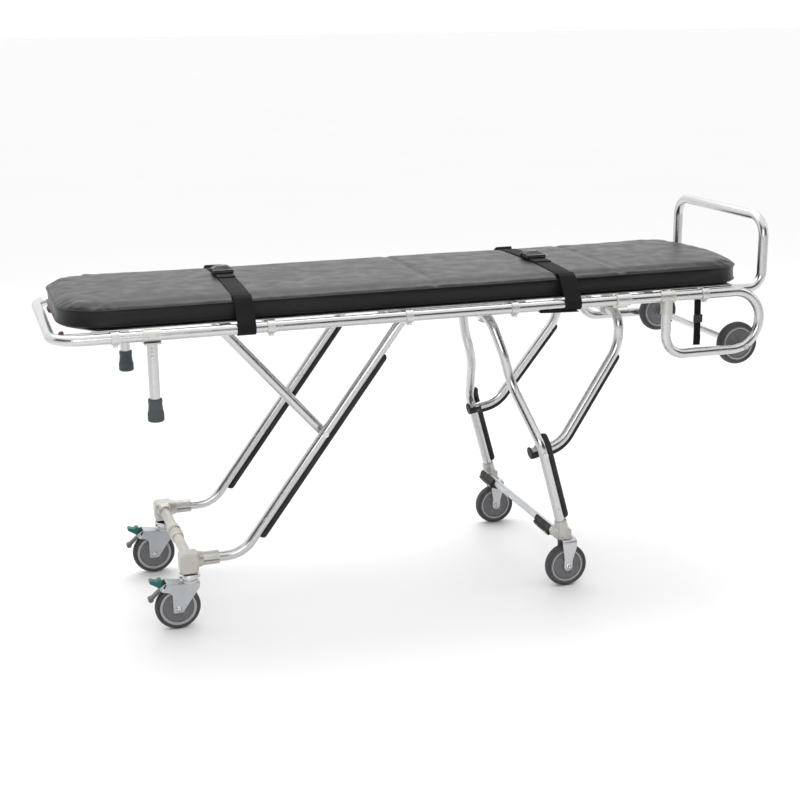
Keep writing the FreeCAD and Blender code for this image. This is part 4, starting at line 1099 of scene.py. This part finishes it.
def cross_bumper(label, side):
    """The black bumper that hugs the cross tube near a leg, with its two screws."""
    cross = centre("head_cross_tube")
    inner, outer, length = 0.0112, 0.0178, 0.106
    start = 0.152 if side < 0 else 0.190
    middle = Vector((cross.x, side * (start + length / 2), cross.z))
    shell = slab("shell", arc_wall(inner, outer, 118, 332), length, middle, X, Z, 0.0016)
    outline = rounded(mm([(-52, -8.5), (52, -8.5), (48, 8.5), (-48, 8.5)]), 0.004)
    lean = Vector((-0.86, 0, -0.51)).normalized()
    rise = Vector((-lean.z, 0, lean.x))
    plate = slab("plate", outline, 0.007, middle + lean * (outer + 0.0012), Y, rise, 0.0018)
    add(assembled("cross_bumper_" + label, [shell, plate]), "head_leg_frame", "guard_rubber")
    profile = mm([(4.2, 0), (4, 1.2), (2.2, 2.2), (1.8, 1.4)])
    screws = [stud("screw", profile, middle + lean * (outer + 0.0046) + Y * offset, lean, 24)
              for offset in (-0.031, 0.031)]
    add(joined("cross_bumper_screws_" + label, screws), "head_leg_frame", "screw_steel")


# ---- Head brace: bumper strip, end cup and bolt


def brace_line(side):
    """The brace tube's centre line from its top corner to its lower end."""
    y, narrow = side * (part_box("head_brace")[1].y - TUBE), side * 0.216
    top = pivot("head_legs_fold")
    knee_z, elbow, end = 0.687, (0.387, y, 0.420), (0.298, y, 0.403)
    return bent([(top.x, narrow, top.z), (top.x, narrow, knee_z), elbow, end], mm([110, 90]), 0.004)


def brace_fittings(label, side):
    """The strip under a brace, and the black cup that cushions its lower end, with a cross bolt."""
    line = resampled(brace_line(side), 0.004)
    run = [point for point in line[:-7] if point.z < 0.672]
    normals = []
    for along in tangents(run):
        under = along.cross(Y)
        normals.append(under if under.z < 0 else -under)
    seated = [point + normal * TUBE for point, normal in zip(run, normals)]
    strip = bumper_strip("brace_strip_" + label, seated, normals, 0.0098, 0.0200)
    add(strip, "head_brace_frame", "guard_rubber")
    tip, axis = line[-1], (line[-1] - line[-8]).normalized()
    up = Vector((-axis.z, 0, axis.x))
    up = up if up.z > 0 else -up
    cup_length, wall = 0.036, arc_wall(TUBE + 0.0002, TUBE + 0.0046, -198, 18)
    shell = slab("cup", wall, cup_length, tip - axis * (cup_length / 2 - 0.003),
                 axis.cross(up).normalized(), up, 0.0013)
    rim = TUBE + 0.0040
    end = turned("end", rounded([(CORE, 0.0012), (rim, 0.0012), (rim, 0.0062), (CORE, 0.0070)],
                                mm([0, 1.2, 2.2, 0]), 4), tip, axis, 40)
    add(assembled("brace_cup_" + label, [shell, end]), "head_brace_frame", "guard_rubber")
    bolt = mm([(6.2, 0), (6.2, 1.4), (5, 2.2), (4.8, 5.2), (3.2, 6.2)])
    place = tip - axis * 0.017 + up * (TUBE - 0.0004)
    add(stud("brace_bolt_" + label, bolt, place, up, 30), "head_brace_frame", "screw_steel")


# ---- Foot posts, release pulls and rail details


def post_tip(label):
    """A moulded rubber ferrule with a stepped collar and a ribbed foot."""
    low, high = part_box("post_tip_" + label)
    axis = Vector(((low.x + high.x) / 2, (low.y + high.y) / 2, low.z))
    tall = (high.z - low.z) * 1000
    profile = mm([(19, 0), (21.6, 3), (21.6, 10), (20.6, 11.2), (21.6, 12.4), (21.4, 23), (19.8, 26.2),
                  (18.2, tall - 20), (17.8, tall - 13), (18.6, tall - 11), (18.6, tall - 1.5), (17.2, tall),
                  (14.4, tall), (14.2, tall - 4)])
    add(stud("tip_" + label, profile, axis, Z, 72, 0.0012), "post_" + label, "tip_rubber",
        stands_for=["post_tip_" + label])


def release_pull(label):
    """A red hand grip on its bright pull wire."""
    low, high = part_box("release_pull_" + label)
    middle = (low + high) / 2
    x = low.x + 0.0075

    def at(ahead, y):
        return Vector((x + ahead, y, middle.z))

    line = resampled([at(0.006, low.y + 0.0045), at(0, low.y + 0.016),
                      at(0, high.y - 0.016), at(0.006, high.y - 0.0045)], 0.003)
    grip = sweep("grip_" + label, line, Z, ellipse(0.0125, 0.0130, 20),
                 grow=lambda share: 0.55 + 0.45 * math.sqrt(max(0.0, 1 - abs(2 * share - 1) ** 8)))
    add(grip, "pull_" + label, "grip_red", stands_for=["release_pull_" + label])
    wire = resampled([at(0, middle.y), Vector((high.x, middle.y, middle.z))], 0.006)
    add(sweep("pull_wire_" + label, wire, Z, ellipse(0.0058, 0.0058, 16)), "pull_" + label, "chrome")


def sleeve_rivets():
    """Paired blind rivets on the post sleeves and the rail tees."""
    low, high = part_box("post_sleeves")
    tee_low, tee_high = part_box("rail_tees")
    rivets = []
    for side in (-1, 1):
        for x in (low.x + 0.010, high.x - 0.010, tee_low.x + 0.010, tee_high.x - 0.010):
            place = Vector((x, side * (high.y - 0.0003), RAIL_HEIGHT))
            rivets.append(stud("rivet", mm([(3.4, 0), (3, 1.1), (1.4, 1.6)]), place, Y * side, 24))
    add(joined("sleeve_rivets", rivets), "frame", "screw_steel")


cross_coupling()
foot_strips()
head_strips()
sleeve_rivets()
for label, side in SIDES.items():
    foot_casting(label, side)
    head_casting(label, side)
    head_fork(label, side)
    cross_bumper(label, side)
    brace_fittings(label, side)
    post_tip(label)
    release_pull(label)

# ---- Studio

FLOOR_REACH = 90.0
# Brightness round the horizon, as (share of the way up, level): beyond the cot it is pale all
# the way up, and on the near side a dark band stands above a pale strip, for the tubes to mirror.
NEAR_WALL = ((0.0, 0.97), (0.03, 0.95), (0.07, 0.03), (0.50, 0.05), (0.72, 1.2), (1.0, 1.3))
FAR_WALL = ((0.0, 1.15), (0.45, 1.15), (0.72, 1.2), (1.0, 1.3))
BEHIND_SHARE = ((0.0, 0.0), (0.25, 1.0))
WORLD_STRENGTH = 1.05
LAMPS = {
    # name: place, aim, size, watts
    "overhead": ((-0.2, 1.4, 3.4), (0, 0, 0.7), (4.5, 2.4), 58),
    "front_fill": ((-1.6, -4.2, 2.2), (0, 0, 0.5), (3.0, 2.0), 55),
    "head_side": ((3.6, -1.0, 2.0), (0.2, 0, 0.5), (1.6, 2.0), 16),
}
CAMERA_PLACE = (-1.2608, -3.8804, 1.6348)
CAMERA_TURNS = (17.805, 15.245, -0.523)
LENS_MM, SENSOR_MM = 64.85, 36.0


def lamp(name, place, aim, size, power):
    """A large rectangular soft light pointed at a place."""
    light = bpy.data.lights.new(name, "AREA")
    light.shape = "RECTANGLE"
    light.size, light.size_y = size
    light.energy = power
    holder = shown(name, light)
    holder.location = place
    holder.rotation_euler = (Vector(aim) - Vector(place)).to_track_quat("-Z", "Y").to_euler()


def studio():
    """Pale floor, surroundings that shade the tubes, a broad soft light overhead and two beside."""
    half = FLOOR_REACH
    floor = mesh_piece("floor", [(-half, -half, 0), (half, -half, 0), (half, half, 0), (-half, half, 0)],
                       [(0, 1, 2, 3)])
    shader = Shader("studio_floor", Roughness=0.55)
    cloud = shader.mix(shader.noise(0.8), (0.88, 0.88, 0.88), (0.91, 0.91, 0.91))
    floor.data.materials.append(shader.finish(cloud, normal=shader.bump(shader.noise(150), 0.0002, 0.2)))
    world = bpy.data.worlds.new("studio")
    world.use_nodes = True
    tree = world.node_tree
    split = tree.nodes.new("ShaderNodeSeparateXYZ")
    tree.links.new(tree.nodes.new("ShaderNodeTexCoord").outputs["Generated"], split.inputs[0])

    def ramp(axis, stops):
        node = tree.nodes.new("ShaderNodeValToRGB")
        while len(node.color_ramp.elements) < len(stops):
            node.color_ramp.elements.new(0.5)
        for element, (place, level) in zip(node.color_ramp.elements, stops):
            element.position, element.color = place, (level, level, level, 1)
        tree.links.new(split.outputs[axis], node.inputs["Fac"])
        return node.outputs["Color"]

    mixed = tree.nodes.new("ShaderNodeMix")
    mixed.data_type = "RGBA"
    tree.links.new(ramp("Y", BEHIND_SHARE), mixed.inputs["Factor"])
    tree.links.new(ramp("Z", NEAR_WALL), mixed.inputs[6])
    tree.links.new(ramp("Z", FAR_WALL), mixed.inputs[7])
    backdrop = tree.nodes["Background"]
    tree.links.new(mixed.outputs[2], backdrop.inputs["Color"])
    backdrop.inputs["Strength"].default_value = WORLD_STRENGTH
    bpy.context.scene.world = world
    for name, settings in LAMPS.items():
        lamp(name, *settings)


def camera():
    """The camera, turned by its yaw, pitch and roll."""
    yaw, pitch, roll = (math.radians(angle) for angle in CAMERA_TURNS)
    ahead = Vector((math.sin(yaw) * math.cos(pitch), math.cos(yaw) * math.cos(pitch), -math.sin(pitch)))
    right = Vector((math.cos(yaw), -math.sin(yaw), 0))
    over = right.cross(ahead)
    side = right * math.cos(roll) + over * math.sin(roll)
    rise = over * math.cos(roll) - right * math.sin(roll)
    matrix = Matrix((side, rise, -ahead)).transposed().to_4x4()
    matrix.translation = CAMERA_PLACE
    lens = bpy.data.cameras.new("camera")
    lens.lens = LENS_MM
    lens.sensor_width = SENSOR_MM
    holder = shown("camera", lens)
    holder.matrix_world = matrix
    bpy.context.scene.camera = holder


studio()
camera()
bpy.context.scene.view_settings.view_transform = "Standard"
